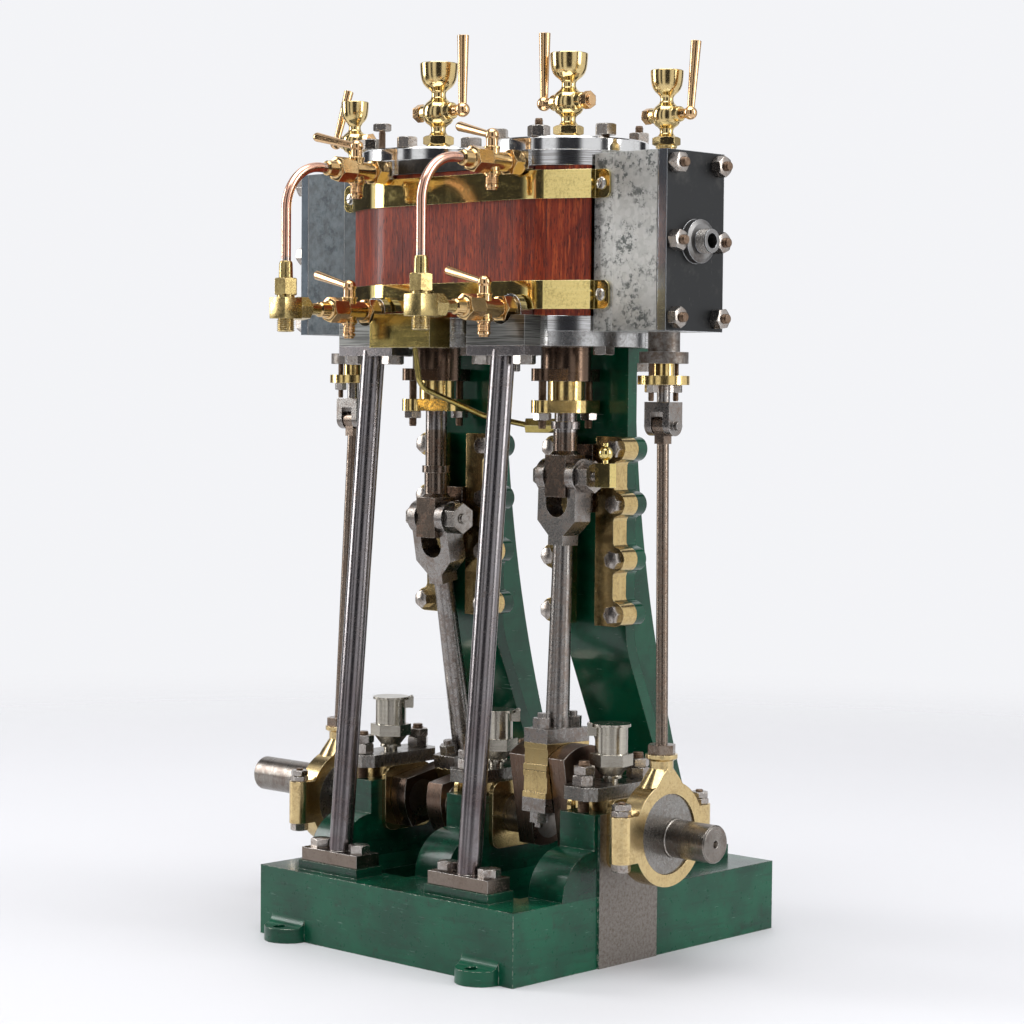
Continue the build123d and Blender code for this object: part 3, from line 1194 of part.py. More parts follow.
def cock_body(x, z, out):
    """Drain cock along -Y: nipple, hexagon, barrel, plug socket, union nut and cone."""
    seat = COCK_SEAT - out
    hex_end = seat - COCK_HEX
    barrel_end = hex_end - COCK_BARREL
    union_end = barrel_end - COCK_UNION
    plug_y = PLUG_Y - out
    body = rod((x, NIPPLE_END, z), (x, seat, z), NIPPLE_RADIUS)
    body += hexagon((x, seat, z), (x, hex_end, z), COCK_HEX_FLATS, 30)
    body += rod((x, hex_end, z), (x, barrel_end, z), COCK_BARREL_RADIUS)
    body += hexagon((x, barrel_end, z), (x, union_end, z), COCK_UNION_FLATS)
    body += taper((x, union_end, z), (x, union_end - COCK_CONE, z), COCK_CONE_RADIUS, FERRULE_RADIUS)
    body += rod((x, plug_y, z - PLUG_SOCKET_DOWN), (x, plug_y, z + PLUG_SOCKET_UP), PLUG_SOCKET)
    return body - rod((x, plug_y, z - KNUCKLE_Z), (x, plug_y, z + KNUCKLE_Z), PLUG_RADIUS + FIT)


def cock_plug(x, z, out, turn):
    """The plug as a pin, its lever above and the spring and knob below."""
    plug = rod((0, 0, -PLUG_TAIL[0][0]), (0, 0, KNUCKLE_Z), PLUG_RADIUS)
    plug += turned((0, 0, 0), (0, 0, -1), PLUG_TAIL)
    plug += Pos(0, 0, KNUCKLE_Z) * Sphere(KNUCKLE_RADIUS)
    tip = (-LEVER_LENGTH, 0, KNUCKLE_Z + LEVER_RISE)
    plug += taper((0, 0, KNUCKLE_Z), tip, LEVER_ROOT, LEVER_TIP) + Pos(*tip) * Sphere(LEVER_TIP)
    return Pos(x, PLUG_Y - out, z) * Rot(0, 0, -turn) * plug


def copper_pipe(x):
    """Copper pipe from the upper union, bent down into the brass block of the lower one."""
    start_y = COCK_SEAT - COCK_LENGTH
    bend = start_y - PIPE_Y - PIPE_STRAIGHT
    path = FilletPolyline(
        (x, start_y, UPPER_COCK_Z),
        (x, PIPE_Y, UPPER_COCK_Z),
        (x, PIPE_Y, LOWER_COCK_Z + BLOCK_HALF_Z + BLOCK_NUT),
        radius=bend,
    )
    return sweep(Plane(origin=path @ 0, z_dir=path % 0) * Circle(PIPE_RADIUS), path)


def pipe_block(x):
    """Square brass block where both drains meet, with nuts above and beside and an outlet below."""
    y, z = PIPE_Y, LOWER_COCK_Z
    top = z + BLOCK_HALF_Z
    nut_top = top + BLOCK_NUT
    beside = y + BLOCK_HALF
    body = block(x - BLOCK_HALF, x + BLOCK_HALF, y - BLOCK_HALF, beside, z - BLOCK_HALF_Z, top)
    body += hexagon((x, y, top), (x, y, nut_top), BLOCK_NUT_FLATS)
    body += rod((x, y, nut_top), (x, y, nut_top + BLOCK_FERRULE), FERRULE_RADIUS)
    body += rod((x, y, z - BLOCK_HALF_Z - BLOCK_OUTLET), (x, y, z), BLOCK_OUTLET_RADIUS)
    body += hexagon((x, beside, z), (x, beside + COCK_UNION, z), BLOCK_NUT_FLATS)
    body += rod((x, beside, z), (x, COCK_SEAT - COCK_COLLAR - COCK_LENGTH, z), BLOCK_OUTLET_BORE)
    body -= rod((x, y, z - 2 * BLOCK_HALF_Z - BLOCK_OUTLET), (x, y, z + FERRULE_RADIUS), BLOCK_OUTLET_BORE)
    return body - rod((x, y, nut_top - FIT), (x, y, nut_top + 2 * BLOCK_FERRULE), PIPE_RADIUS + FIT / 2)


def lubricator(x, base, scale):
    """Displacement lubricator: foot, collar, ball with a cross boss, and an open bowl on top."""
    body = turned((0, 0, 0), (0, 0, 1), LUB_FOOT)
    body += Pos(0, 0, LUB_BALL) * Sphere(LUB_BALL_RADIUS)
    bowl = Pos(0, 0, LUB_RIM) * Sphere(LUB_CUP_RADIUS)
    bowl &= block(-LUB_RIM, LUB_RIM, -LUB_RIM, LUB_RIM, 0, LUB_RIM)
    body += bowl + rod((0, 0, LUB_BALL), (0, 0, LUB_RIM - LUB_CUP_RADIUS + CUT), LUB_NECK)
    body -= Pos(0, 0, LUB_RIM) * Sphere(LUB_CUP_RADIUS - LUB_CUP_WALL)
    body += rod((-LUB_BOSS_END, 0, LUB_PLUG), (LUB_BOSS_END, 0, LUB_PLUG), LUB_BOSS)
    body -= rod((-LUB_RIM, 0, LUB_PLUG), (LUB_RIM, 0, LUB_PLUG), LUB_PIN + FIT)
    return Pos(x, 0, base) * body.scale(scale)


def lubricator_plug(x, base, scale, hand, lever, lean):
    """Cross plug with a nut on one side and an upright lever on the other."""
    nut = -LUB_BOSS_END - SEAT
    plug = rod((nut - LUB_NUT - CUT, 0, 0), (LUB_LEVER_X, 0, 0), LUB_PIN)
    plug += hexagon((nut, 0, 0), (nut - LUB_NUT, 0, 0), LUB_NUT_FLATS)
    plug += Pos(LUB_LEVER_X, 0, 0) * Sphere(LUB_ELBOW)
    tip = (LUB_LEVER_X, 0, lever / scale)
    plug += taper((LUB_LEVER_X, 0, 0), tip, LUB_LEVER_ROOT, LUB_LEVER_TIP)
    placed = Rot(lean, 0, 0) * Rot(0, 0, 90 - 90 * hand) * plug
    return Pos(x, 0, base + LUB_PLUG * scale) * placed.scale(scale)


def drip_box():
    """Folded brass box between the column lugs that catches drips for the thin pipe below."""
    left, right, wall = -CYLINDER_X + LUG_HALF + SEAT, DRIP_RIGHT, DRIP_WALL
    front, bottom, top = LUG_FRONT - wall, DRIP_BOTTOM, DRIP_TOP
    body = block(left, right, front, DRIP_BACK, bottom, top)
    body -= block(left + wall, right - wall, front + wall, DRIP_BACK - wall, bottom + wall, top + CUT)
    for x in (-CYLINDER_X, CYLINDER_X):
        body -= rod((x, 0, bottom - CUT), (x, 0, top + CUT), COVER_RADIUS + SEAT)
    body = body.solids().sort_by(SortBy.VOLUME)[-1]
    body += block(DRIP_LEFT, right, front, LUG_FRONT - FIT, bottom, top)
    x, z, out = COCKS["lower_left"]
    return body - rod((x, front - CUT, z), (x, LUG_FRONT + CUT, z), COCK_GROOVE)


def drip_pipe():
    """Thin brass pipe from the drip box to an elbow on the face of the right standard."""
    seat_x = CYLINDER_X - STANDARD_HALF + ELBOW_FLATS / 2 + SEAT
    seat_y = STANDARD_FRONT - ELBOW_SEAT
    elbow_x, elbow_y = seat_x - ELBOW_REACH, seat_y - ELBOW_REACH / 2
    path = FilletPolyline(
        (DRIP_PIPE_X, DRIP_PIPE_Y, DRIP_BOTTOM),
        (DRIP_PIPE_X + 1, DRIP_PIPE_Y + 2, DRIP_BOTTOM - 16),
        (elbow_x - 12, elbow_y - 14, ELBOW_Z + 4),
        (elbow_x + 1, elbow_y + 1 / 2, ELBOW_Z),
        radius=DRIP_PIPE_BEND,
    )
    pipe = sweep(Plane(origin=path @ 0, z_dir=path % 0) * Circle(DRIP_PIPE_RADIUS), path)
    elbow = hexagon((elbow_x, elbow_y, ELBOW_Z), (seat_x, seat_y, ELBOW_Z), ELBOW_FLATS)
    elbow += Pos(seat_x, seat_y, ELBOW_Z) * Sphere(ELBOW_FLATS / 2)
    return pipe + elbow + rod((seat_x, seat_y, ELBOW_Z), (seat_x, STANDARD_FRONT, ELBOW_Z), ELBOW_FLATS / 2)


def crosshead_oiler():
    """Small brass block and ball oiler at the end of the right crosshead pin."""
    z = crosshead_z(1)
    x = OILER_X + SEAT
    middle = x + OILER_LENGTH / 2
    body = block(x, x + OILER_LENGTH, -OILER_HALF, OILER_HALF, z - OILER_DOWN, z + OILER_UP)
    ball_z = z + OILER_UP + OILER_BALL + OILER_STEM
    body += rod((middle, 0, z), (middle, 0, ball_z + OILER_BALL + OILER_STEM), OILER_STEM)
    return body + Pos(middle, 0, ball_z) * Sphere(OILER_BALL)


COCKS = {
    "upper_left": (COCK_LEFT_X, UPPER_COCK_Z, 0),
    "upper_right": (COCK_RIGHT_X, UPPER_COCK_Z, 0),
    "lower_left": (COCK_LEFT_X, LOWER_COCK_Z, COCK_COLLAR),
    "lower_right": (COCK_RIGHT_X, LOWER_COCK_Z, COCK_COLLAR),
}
COCK_TURNS = {"upper_left": 0, "upper_right": 14, "lower_left": 10, "lower_right": 10}
LUBRICATORS = {
    "cylinder_left": (-CYLINDER_X, COVER_TOP),
    "cylinder_right": (CYLINDER_X, COVER_TOP),
    "valve_left": (-VALVE_X, CHEST_TOP),
    "valve_right": (VALVE_X, CHEST_TOP),
}
both = list(SIDES.values())

write("bedplate", bedplate())
write("bearing_brasses", *[bearing_brass(x) for x in BEARINGS])
write("bearing_caps", *[bearing_cap(x) for x in BEARINGS])
write("bearing_studs", *[bearing_stud(x, y) for x in BEARINGS for y in (-STUD_Y, STUD_Y)])
write("oil_cups", *[oil_cup(x) for x in BEARINGS])
for name, x in zip(("left", "middle", "right"), BEARINGS):
    write(f"oil_cup_lid_{name}", oil_cup_lid(x))
write("crankshaft", crankshaft())
for name, side in SIDES.items():
    write(f"standard_{name}", standard(side))
    write(f"column_{name}", column(side))
    write(f"cylinder_{name}", cylinder(side))
    write(f"crosshead_{name}", crosshead(side))
    write(f"connecting_rod_{name}", connecting_rod(side))
write("standard_bolts", *[b for s in both for b in standard_bolts(s)])
write("guide_keeps", *[guide_keep(s, h) for s in both for h in (-1, 1)])
write("guide_bolts", *[b for s in both for b in guide_bolts(s)])
write("column_bolts", *[b for s in both for b in column_bolts(s)])
write("cylinder_covers", *[cylinder_cover(s) for s in both])
write("cover_bolts", *[b for s in both for b in cover_bolts(s)])
write("bottom_covers", *[bottom_cover(s) for s in both])
write("piston_glands", *[gland(s) for s in both])
write("gland_studs", *[n for s in both for n in gland_studs(s)])
write("lagging", lagging())
write("band_upper", band(BAND_UPPER_Z))
write("band_lower", band(BAND_LOWER_Z))
write("top_fillers", *fillers())
write("valve_chests", *[chest(s) for s in both])
write("chest_covers", *[chest_cover(s) for s in both])
write("chest_nuts", *[n for s in both for n in chest_nuts(s)])
write("valve_glands", *[valve_gland(s) for s in both])
write("wrist_pins", *[wrist_pin(s) for s in both])
write("big_end_brasses", *[p for s in both for p in big_end(s)])
write("big_end_keeps", *[p for s in both for p in big_end_keep(s)])
write("eccentric_sheaves", *[sheave(s) for s in both])
write("eccentric_straps", *[strap(s) for s in both])
write("strap_bolts", *[b for s in both for b in strap_bolts(s)])
write("eccentric_rods", *[eccentric_rod(s) for s in both])
write("valve_rods", *[valve_rod(s) for s in both])
write("drip_box", drip_box())
write("drip_pipe", drip_pipe())
write("crosshead_oiler", crosshead_oiler())
write("drain_cocks", *[cock_body(*place) for place in COCKS.values()])
for name, place in COCKS.items():
    write(f"cock_lever_{name}", cock_plug(*place, COCK_TURNS[name]))
write("copper_pipes", *[copper_pipe(x) for x in (COCK_LEFT_X, COCK_RIGHT_X)])
write("pipe_blocks", *[pipe_block(x) for x in (COCK_LEFT_X, COCK_RIGHT_X)])
write("lubricators", *[lubricator(*LUBRICATORS[name], LUB_FORMS[name][0]) for name in LUBRICATORS])
for name, place in LUBRICATORS.items():
    write(f"lubricator_lever_{name}", lubricator_plug(*place, *LUB_FORMS[name]))
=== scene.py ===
# %% [markdown]
# # Model twin-cylinder marine engine: the finish
# The solids of the engine come ready made. This notebook dresses them: it gives
# every piece its paint, metal or wood, adds the small parts that a maker would
# fit last, such as nuts and screws, and sets up the camera and a plain studio.

# %% Load the solids
from math import cos, pi, radians, sin, sqrt, tan

import bmesh
import bpy
from mathutils import Matrix, Vector


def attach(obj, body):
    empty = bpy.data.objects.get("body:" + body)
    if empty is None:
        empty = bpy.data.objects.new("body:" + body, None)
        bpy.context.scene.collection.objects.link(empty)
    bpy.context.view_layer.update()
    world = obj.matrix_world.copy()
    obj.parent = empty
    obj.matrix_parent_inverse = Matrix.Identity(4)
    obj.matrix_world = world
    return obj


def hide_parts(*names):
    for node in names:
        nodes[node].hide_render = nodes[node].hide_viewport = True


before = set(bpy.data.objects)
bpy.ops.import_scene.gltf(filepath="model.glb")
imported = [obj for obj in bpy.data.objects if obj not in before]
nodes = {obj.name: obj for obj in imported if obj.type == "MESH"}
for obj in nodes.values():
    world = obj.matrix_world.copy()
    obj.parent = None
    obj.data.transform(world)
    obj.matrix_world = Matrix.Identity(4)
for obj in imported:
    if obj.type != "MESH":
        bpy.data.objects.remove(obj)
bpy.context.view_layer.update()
MM = 0.001
print("solids:", len(nodes))

# %% [markdown]
# ## Shader maths as plain expressions
# A finish could be wired up node by node in the editor, but the wires soon hide
# the idea. A wrapped socket lets a pattern be written as a sum or product, and
# each expression adds its Math nodes by itself, so the recipe stays readable.

# %% A socket that can be added and multiplied


class Val:
    """One number that changes over the surface."""

    def __init__(self, mat, socket):
        self.mat, self.socket = mat, socket

    def math(self, operation, *values, clamp=False):
        node = self.mat.tree.nodes.new("ShaderNodeMath")
        node.operation, node.use_clamp = operation, clamp
        for i, value in enumerate(values):
            self.mat.set(node.inputs[i], value)
        return Val(self.mat, node.outputs[0])

    def __add__(self, other):
        return self.math("ADD", self, other)

    def __sub__(self, other):
        return self.math("SUBTRACT", self, other)

    def __rsub__(self, other):
        return self.math("SUBTRACT", other, self)

    def __mul__(self, other):
        return self.math("MULTIPLY", self, other)

    def __truediv__(self, other):
        return self.math("DIVIDE", self, other)

    def __gt__(self, other):
        return self.math("GREATER_THAN", self, other)

    def __lt__(self, other):
        return self.math("LESS_THAN", self, other)

    def __abs__(self):
        return self.math("ABSOLUTE", self)

    __radd__ = __add__
    __rmul__ = __mul__

    def clamp(self):
        return self.math("ADD", self, 0.0, clamp=True)

    def step(self, low, high):
        """0 at low, 1 at high, and a soft ramp between. Low may be the larger of the two."""
        limits = {"From Min": low, "From Max": high}
        return self.mat.node("ShaderNodeMapRange", {"interpolation_type": "SMOOTHSTEP"}, Value=self, **limits)


# %% A finish: one material and the patterns in it
BEVEL_SAMPLES = 4
CORNER_STARTS, CORNER_FULL = 0.01, 0.2  # how far the rounded direction leans away at a corner


class Finish:
    """A material whose patterns follow the engine's own coordinates."""

    def __init__(self, name):
        self.material = bpy.data.materials.new(name)
        self.material.use_nodes = True
        self.tree = self.material.node_tree
        self.shader = self.tree.nodes["Principled BSDF"]
        self.place = self.tree.nodes.new("ShaderNodeTexCoord").outputs["Object"]

    def set(self, socket, value):
        if isinstance(value, Val):
            self.tree.links.new(value.socket, socket)
        elif isinstance(value, bpy.types.NodeSocket):
            self.tree.links.new(value, socket)
        elif hasattr(value, "__len__") and len(value) == 3 and len(socket.default_value) == 4:
            socket.default_value = (*value, 1.0)
        else:
            socket.default_value = value

    def node(self, kind, settings=None, output=0, **inputs):
        node = self.tree.nodes.new(kind)
        for key, value in (settings or {}).items():
            setattr(node, key, value)
        for key, value in inputs.items():
            self.set(node.inputs[key], value)
        return Val(self, node.outputs[output])

    def scaled(self, x, y, z):
        """The place on the engine, stretched by a factor along each axis."""
        return self.node("ShaderNodeMapping", Vector=self.place, Scale=(x, y, z)).socket

    def noise(self, scale, detail=3.0, roughness=0.55, at=None):
        amounts = {"Scale": scale, "Detail": detail, "Roughness": roughness}
        return self.node("ShaderNodeTexNoise", Vector=at or self.place, **amounts)

    def cells(self, scale, output=0):
        return self.node("ShaderNodeTexVoronoi", output=output, Vector=self.place, Scale=scale)

    def axis(self, index):
        node = self.tree.nodes.new("ShaderNodeSeparateXYZ")
        self.set(node.inputs[0], self.place)
        return Val(self, node.outputs[index])

    def mix(self, mask, below, above):
        """One colour under another, where the mask says."""
        node = self.tree.nodes.new("ShaderNodeMix")
        node.data_type = "RGBA"
        self.set(node.inputs["Factor"], mask)
        self.set(node.inputs[6], below)
        self.set(node.inputs[7], above)
        return node.outputs[2]

    def shade(self, **inputs):
        """Gives the shader's sockets their numbers, colours or patterns."""
        for key, value in inputs.items():
            self.set(self.shader.inputs[key.replace("_", " ")], value)

    def rounded(self, radius):
        """The direction that the surface would face if its corners had a radius."""
        return self.node("ShaderNodeBevel", {"samples": BEVEL_SAMPLES}, Radius=radius)

    def edges(self, width):
        """1 at a corner of the solid and 0 on its open faces."""
        facing = self.tree.nodes.new("ShaderNodeVectorMath")
        facing.operation = "DOT_PRODUCT"
        self.set(facing.inputs[0], self.rounded(width))
        self.set(facing.inputs[1], self.tree.nodes.new("ShaderNodeNewGeometry").outputs["Normal"])
        return (1.0 - Val(self, facing.outputs["Value"])).step(CORNER_STARTS, CORNER_FULL)

    def relief(self, height, depth, edge=0.0):
        """Bumps of a given depth in metres, on edges that are broken by a small radius."""
        inputs = {"Normal": self.rounded(edge)} if edge else {}
        bump = self.node("ShaderNodeBump", Height=height, Distance=depth, Strength=1.0, **inputs)
        self.set(self.shader.inputs["Normal"], bump)


# %% [markdown]
# ## Camera
# The camera stands at the front right corner, a little above the crossheads,
# and looks slightly down, as in the picture of the real engine. A camera could
# be aimed by a constraint, but three named directions give its roll as well.

# %% Camera
AZIMUTH, TILT, ROLL = radians(43.15), radians(2.64), radians(0.51)
EYE = Vector((0.74994, -0.79179, 0.23014))
FOCAL_LENGTH, FILM_WIDTH, NEAREST = 91.11, 36.0, 0.05
forward = Vector((-sin(AZIMUTH) * cos(TILT), cos(AZIMUTH) * cos(TILT), -sin(TILT)))
right = Vector((cos(AZIMUTH), sin(AZIMUTH), 0.0))
up = right.cross(forward)
turned_right = right * cos(ROLL) + up * sin(ROLL)
turned_up = up * cos(ROLL) - right * sin(ROLL)
camera_data = bpy.data.cameras.new("camera")
camera_data.sensor_width, camera_data.lens, camera_data.clip_start = FILM_WIDTH, FOCAL_LENGTH, NEAREST
camera = bpy.data.objects.new("camera", camera_data)
camera.matrix_world = Matrix((
    (turned_right.x, turned_up.x, -forward.x, EYE.x),
    (turned_right.y, turned_up.y, -forward.y, EYE.y),
    (turned_right.z, turned_up.z, -forward.z, EYE.z),
    (0.0, 0.0, 0.0, 1.0),
))
bpy.context.scene.collection.objects.link(camera)
bpy.context.scene.camera = camera
print("camera:", round(EYE.length, 2), "m from the origin")

# %% [markdown]
# ## Studio
# A model is photographed on a pale table between white walls. The floor is a
# disc that fades out before its rim, so no horizon shows. Polished metal looks
# like metal only where it has something dark to mirror, so the white walls have
# a few dark gaps that the camera itself doesn't see.

# %% The floor
FLOOR_RADIUS, FLOOR_SIDES = 1.1, 96
FLOOR_COLOUR, FLOOR_ROUGHNESS = (0.64, 0.64, 0.66), 0.6
CLEAR_FROM, SOLID_UP_TO = FLOOR_RADIUS * 0.98, FLOOR_RADIUS * 0.45


def new_object(name, mesh):
    made = bpy.data.objects.new(name, mesh)
    bpy.context.scene.collection.objects.link(made)
    return made


floor_mesh = bpy.data.meshes.new("floor")
shape = bmesh.new()
bmesh.ops.create_circle(shape, cap_ends=True, segments=FLOOR_SIDES, radius=FLOOR_RADIUS)
shape.to_mesh(floor_mesh)
shape.free()
floor = new_object("floor", floor_mesh)
pale = Finish("pale floor")
away = pale.node("ShaderNodeVectorMath", {"operation": "LENGTH"}, output="Value", Vector=pale.place)
pale.shade(Base_Color=FLOOR_COLOUR, Roughness=FLOOR_ROUGHNESS, Alpha=away.step(CLEAR_FROM, SOLID_UP_TO))
floor_mesh.materials.append(pale.material)
print("floor:", FLOOR_RADIUS, "m in radius")

# %% White walls with dark gaps
WALL_COLOUR, GAP_COLOUR = (0.9, 0.905, 0.93, 1.0), (0.03, 0.03, 0.035, 1.0)
# Each row, in degrees: where the gap is, half its width, and how far its edges fade
GAPS = (
    (-47.0, 12.0, 10.0),
    (-92.0, 4.0, 5.0),
    (178.0, 7.0, 9.0),
    (86.0, 6.0, 8.0),
    (8.0, 5.0, 6.0),
    (-131.0, 9.0, 16.0),
)
bpy.context.scene.view_settings.view_transform = "Standard"
world = bpy.data.worlds.new("studio")
bpy.context.scene.world = world
world.use_nodes = True
walls = world.node_tree


def wall_node(kind, settings, *values):
    """A node of the walls, with numbers or links for its first sockets."""
    node = walls.nodes.new(kind)
    for key, value in settings.items():
        setattr(node, key, value)
    for socket, value in zip(node.inputs, values):
        if isinstance(value, bpy.types.NodeSocket):
            walls.links.new(value, socket)
        else:
            socket.default_value = value
    return node


def gap(level, towards, half_width, soft):
    """An upright gap in the walls: 1 inside it, and 0 away from it."""
    aim = (cos(radians(towards)), sin(radians(towards)), 0.0)
    facing = wall_node("ShaderNodeVectorMath", {"operation": "DOT_PRODUCT"}, level, aim).outputs["Value"]
    fade_start, fade_end = cos(radians(half_width + soft)), cos(radians(half_width))
    settings = {"interpolation_type": "SMOOTHSTEP"}
    return wall_node("ShaderNodeMapRange", settings, facing, fade_start, fade_end).outputs["Result"]


view = walls.nodes.new("ShaderNodeTexCoord").outputs["Generated"]
flat = wall_node("ShaderNodeVectorMath", {"operation": "MULTIPLY"}, view, (1.0, 1.0, 0.0))
level = wall_node("ShaderNodeVectorMath", {"operation": "NORMALIZE"}, flat.outputs[0]).outputs[0]
dark = 0.0
for row in GAPS:
    dark = wall_node("ShaderNodeMath", {"operation": "MAXIMUM"}, dark, gap(level, *row)).outputs[0]
seen = walls.nodes.new("ShaderNodeLightPath").outputs["Is Camera Ray"]
hidden = wall_node("ShaderNodeMath", {"operation": "SUBTRACT", "use_clamp": True}, dark, seen)
both = walls.nodes.new("ShaderNodeMix")
both.data_type = "RGBA"
both.inputs[6].default_value, both.inputs[7].default_value = WALL_COLOUR, GAP_COLOUR
walls.links.new(hidden.outputs[0], both.inputs["Factor"])
walls.links.new(both.outputs[2], walls.nodes["Background"].inputs["Color"])
walls.nodes["Background"].inputs["Strength"].default_value = 1.0
print("dark gaps:", len(GAPS))

# %% Soft lights
# Each row: where the light stands, what it looks at, its width and height, and its power
LIGHTS = {
    "left_box": ((-1.5, -0.9, 0.7), (0, 0, 0.18), (0.5, 1.2), 16),
    "right_box": ((1.4, 0.5, 0.7), (0, 0, 0.18), (0.5, 1.2), 10),
    "top_box": ((0.1, -0.3, 1.7), (0, 0, 0.15), (1.4, 1.4), 26),
}
for name, (place, target, size, power) in LIGHTS.items():
    data = bpy.data.lights.new(name, "AREA")
    data.shape, data.size, data.size_y, data.energy = "RECTANGLE", size[0], size[1], power
    lamp = new_object(name, data)
    lamp.location = place
    lamp.rotation_euler = (Vector(target) - Vector(place)).to_track_quat("-Z", "Y").to_euler()
print("lights:", len(LIGHTS))

# %% [markdown]
# ## Recipes
# Metal, paint and wood each have one recipe. A picture could be wrapped round
# each piece, but patterns worked out from the place on the engine need no
# unwrapping and stay sharp close up. A recipe takes its colours and its amount
# of stain, brush lines and pits, and every piece gets its own.

# %% The metal recipe
FINE_EDGE, BROKEN_EDGE = 0.0003, 0.0004  # how far in from a corner it is rounded, and how far the painted edge highlight reaches, in metres
FINE_RELIEF, DEEP_RELIEF = 0.00002, 0.00006
PIT_COLOUR = (0.02, 0.015, 0.012)


def weather(f, colour, stain, amount=0.4, rough=0.25, lines=(700.0, 700.0, 700.0), brush=0.2, pits=0.3,
            bright=None, edge=FINE_EDGE):
    """Bare metal: stained patches, brush lines, pits, and edges lightened by wear and by a painted highlight.
    """
    patches = f.noise(130.0, 5.0, 0.7) * 0.45 + f.noise(900.0, 4.0, 0.75) * 0.55
    stained = patches.step(0.5 - 0.15 * amount, 0.78 - 0.25 * amount) * (0.35 + 0.6 * amount)
    streaks = f.noise(1.0, 2.0, 0.5, at=f.scaled(*lines)).step(0.3, 0.7)
    dots = (f.cells(1900.0) < 0.24 * pits) * f.noise(260.0).step(0.45, 0.62)
    tone = f.mix(stained, colour, stain)
    tone = f.mix(streaks * brush, tone, f.node("ShaderNodeGamma", Color=tone, Gamma=2.0).socket)
    tone = f.mix(dots * 0.8, tone, PIT_COLOUR)
    # Painted highlight, partly wear: when a pale colour is given, the corners are mixed towards it.
    if bright:
        tone = f.mix(f.edges(edge) * 0.75, tone, bright)
    gloss = stained * 0.2 + streaks * (0.15 * brush) + dots * 0.3 + rough
    f.shade(Base_Color=tone, Metallic=stained * -0.2 + 1.0, Roughness=gloss.clamp())
    f.relief(streaks * (0.4 * brush) - dots - stained * 0.3, FINE_RELIEF, edge)


def metal(name, colour, stain, **choices):
    f = Finish(name)
    weather(f, colour, stain, **choices)
    return f.material


# %% [markdown]
# ## Green enamel
# The bed and the standards are painted castings. A flat green would look like
# plastic, so masks lay down what years of use do: a cloudy coat, scratches,
# brush marks, dirt, and bare metal where the corners were knocked.

# %% The paint recipe
SCRATCH_COLOUR, BRUSHED_COLOUR = (0.1, 0.2, 0.15), (0.003, 0.022, 0.014)
DIRT_COLOUR, BARE_COLOUR = (0.012, 0.014, 0.01), (0.4, 0.4, 0.34)
CHIP_WIDTH, CORNER_RADIUS, COAT_DEPTH = 0.0006, 0.0005, 0.00003


def paint(f, colour, dark, rough, wear, chips):
    """Enamel over iron: a glossy coat, scratches, dirt, and bare metal at chipped edges."""
    cloud = f.noise(45.0, 4.0, 0.6).step(0.35, 0.7)
    tone = f.mix(cloud, colour, dark)
    long_scratch = f.noise(1.0, 3.0, 0.6, at=f.scaled(110.0, 110.0, 1500.0)).step(0.64, 0.7)
    scratch = long_scratch * f.noise(170.0).step(0.48, 0.6)
    tone = f.mix(scratch * wear, tone, SCRATCH_COLOUR)
    brushed = f.noise(1.0, 4.0, 0.65, at=f.scaled(45.0, 45.0, 420.0)).step(0.5, 0.72)
    tone = f.mix(brushed * wear * 0.6, tone, BRUSHED_COLOUR)
    dirt = f.noise(210.0, 6.0, 0.75).step(0.55, 0.72) * wear
    tone = f.mix(dirt * 0.7, tone, DIRT_COLOUR)
    chipped = f.noise(800.0, 4.0, 0.6).step(0.66 - chips * 0.25, 0.72 - chips * 0.25)
    bare = (f.edges(CHIP_WIDTH) * chipped).clamp()
    tone = f.mix(bare, tone, BARE_COLOUR)
    f.shade(Base_Color=tone, Metallic=bare * 0.8, Specular_IOR_Level=0.32)
    f.shade(Coat_Weight=(0.22 - bare - dirt * 0.4).clamp(), Coat_Roughness=0.08)
    f.shade(Roughness=(dirt * 0.3 + scratch * 0.15 + rough).clamp())
    f.relief(cloud * 0.5 - scratch * 0.4 - bare + f.noise(300.0) * 0.5, COAT_DEPTH, CORNER_RADIUS)
    return tone, bare


# %% Green paint for the bed and the standards
BED_GREEN, BED_DARK, GREASE = (0.001, 0.088, 0.042), (0.001, 0.05, 0.025), (0.004, 0.012, 0.008)
STANDARD_GREEN, STANDARD_DARK = (0.001, 0.068, 0.032), (0.001, 0.036, 0.017)
STRIP_PALE, STRIP_BROWN = (0.24, 0.22, 0.2), (0.11, 0.085, 0.065)
STRIP_FACE, STRIP_HALF = 0.0736, 0.0179  # the bare strips of the bed's ends, in metres
DECK, DECK_FADE = 0.0288, 0.0006


def bed_paint():
    """Worn mid green on the box, black grease on the deck, bare metal on the end strips."""
    f = Finish("bed paint")
    tone, bare = paint(f, BED_GREEN, BED_DARK, rough=0.17, wear=0.9, chips=0.7)
    strip = (abs(f.axis(0)) > STRIP_FACE) * (abs(f.axis(1)) < STRIP_HALF)
    deck = f.axis(2).step(DECK, DECK + DECK_FADE)
    oily = (deck * f.noise(55.0, 5.0, 0.7).step(0.3, 0.55)).clamp()
    tone = f.mix(oily * 0.6, tone, GREASE)
    raw = f.mix(f.noise(700.0, 6.0, 0.8).step(0.35, 0.75), STRIP_PALE, STRIP_BROWN)
    tone = f.mix(strip, tone, raw)
    metal_share = (bare * 0.8 * (1.0 - strip) + strip * 0.85).clamp()
    f.shade(Base_Color=tone, Metallic=metal_share, Coat_Weight=((0.16 - bare) * (1.0 - strip)).clamp())
    dull = f.noise(300.0, 4.0, 0.7) * 0.2 + strip * 0.15 + 0.14 + (1.0 - deck) * 0.06
    f.shade(Roughness=dull.clamp())
    return f.material


def standard_paint():
    """Glossy, nearly black green with bright chips along its corners."""
    f = Finish("standard paint")
    paint(f, STANDARD_GREEN, STANDARD_DARK, rough=0.18, wear=0.3, chips=0.35)
    return f.material


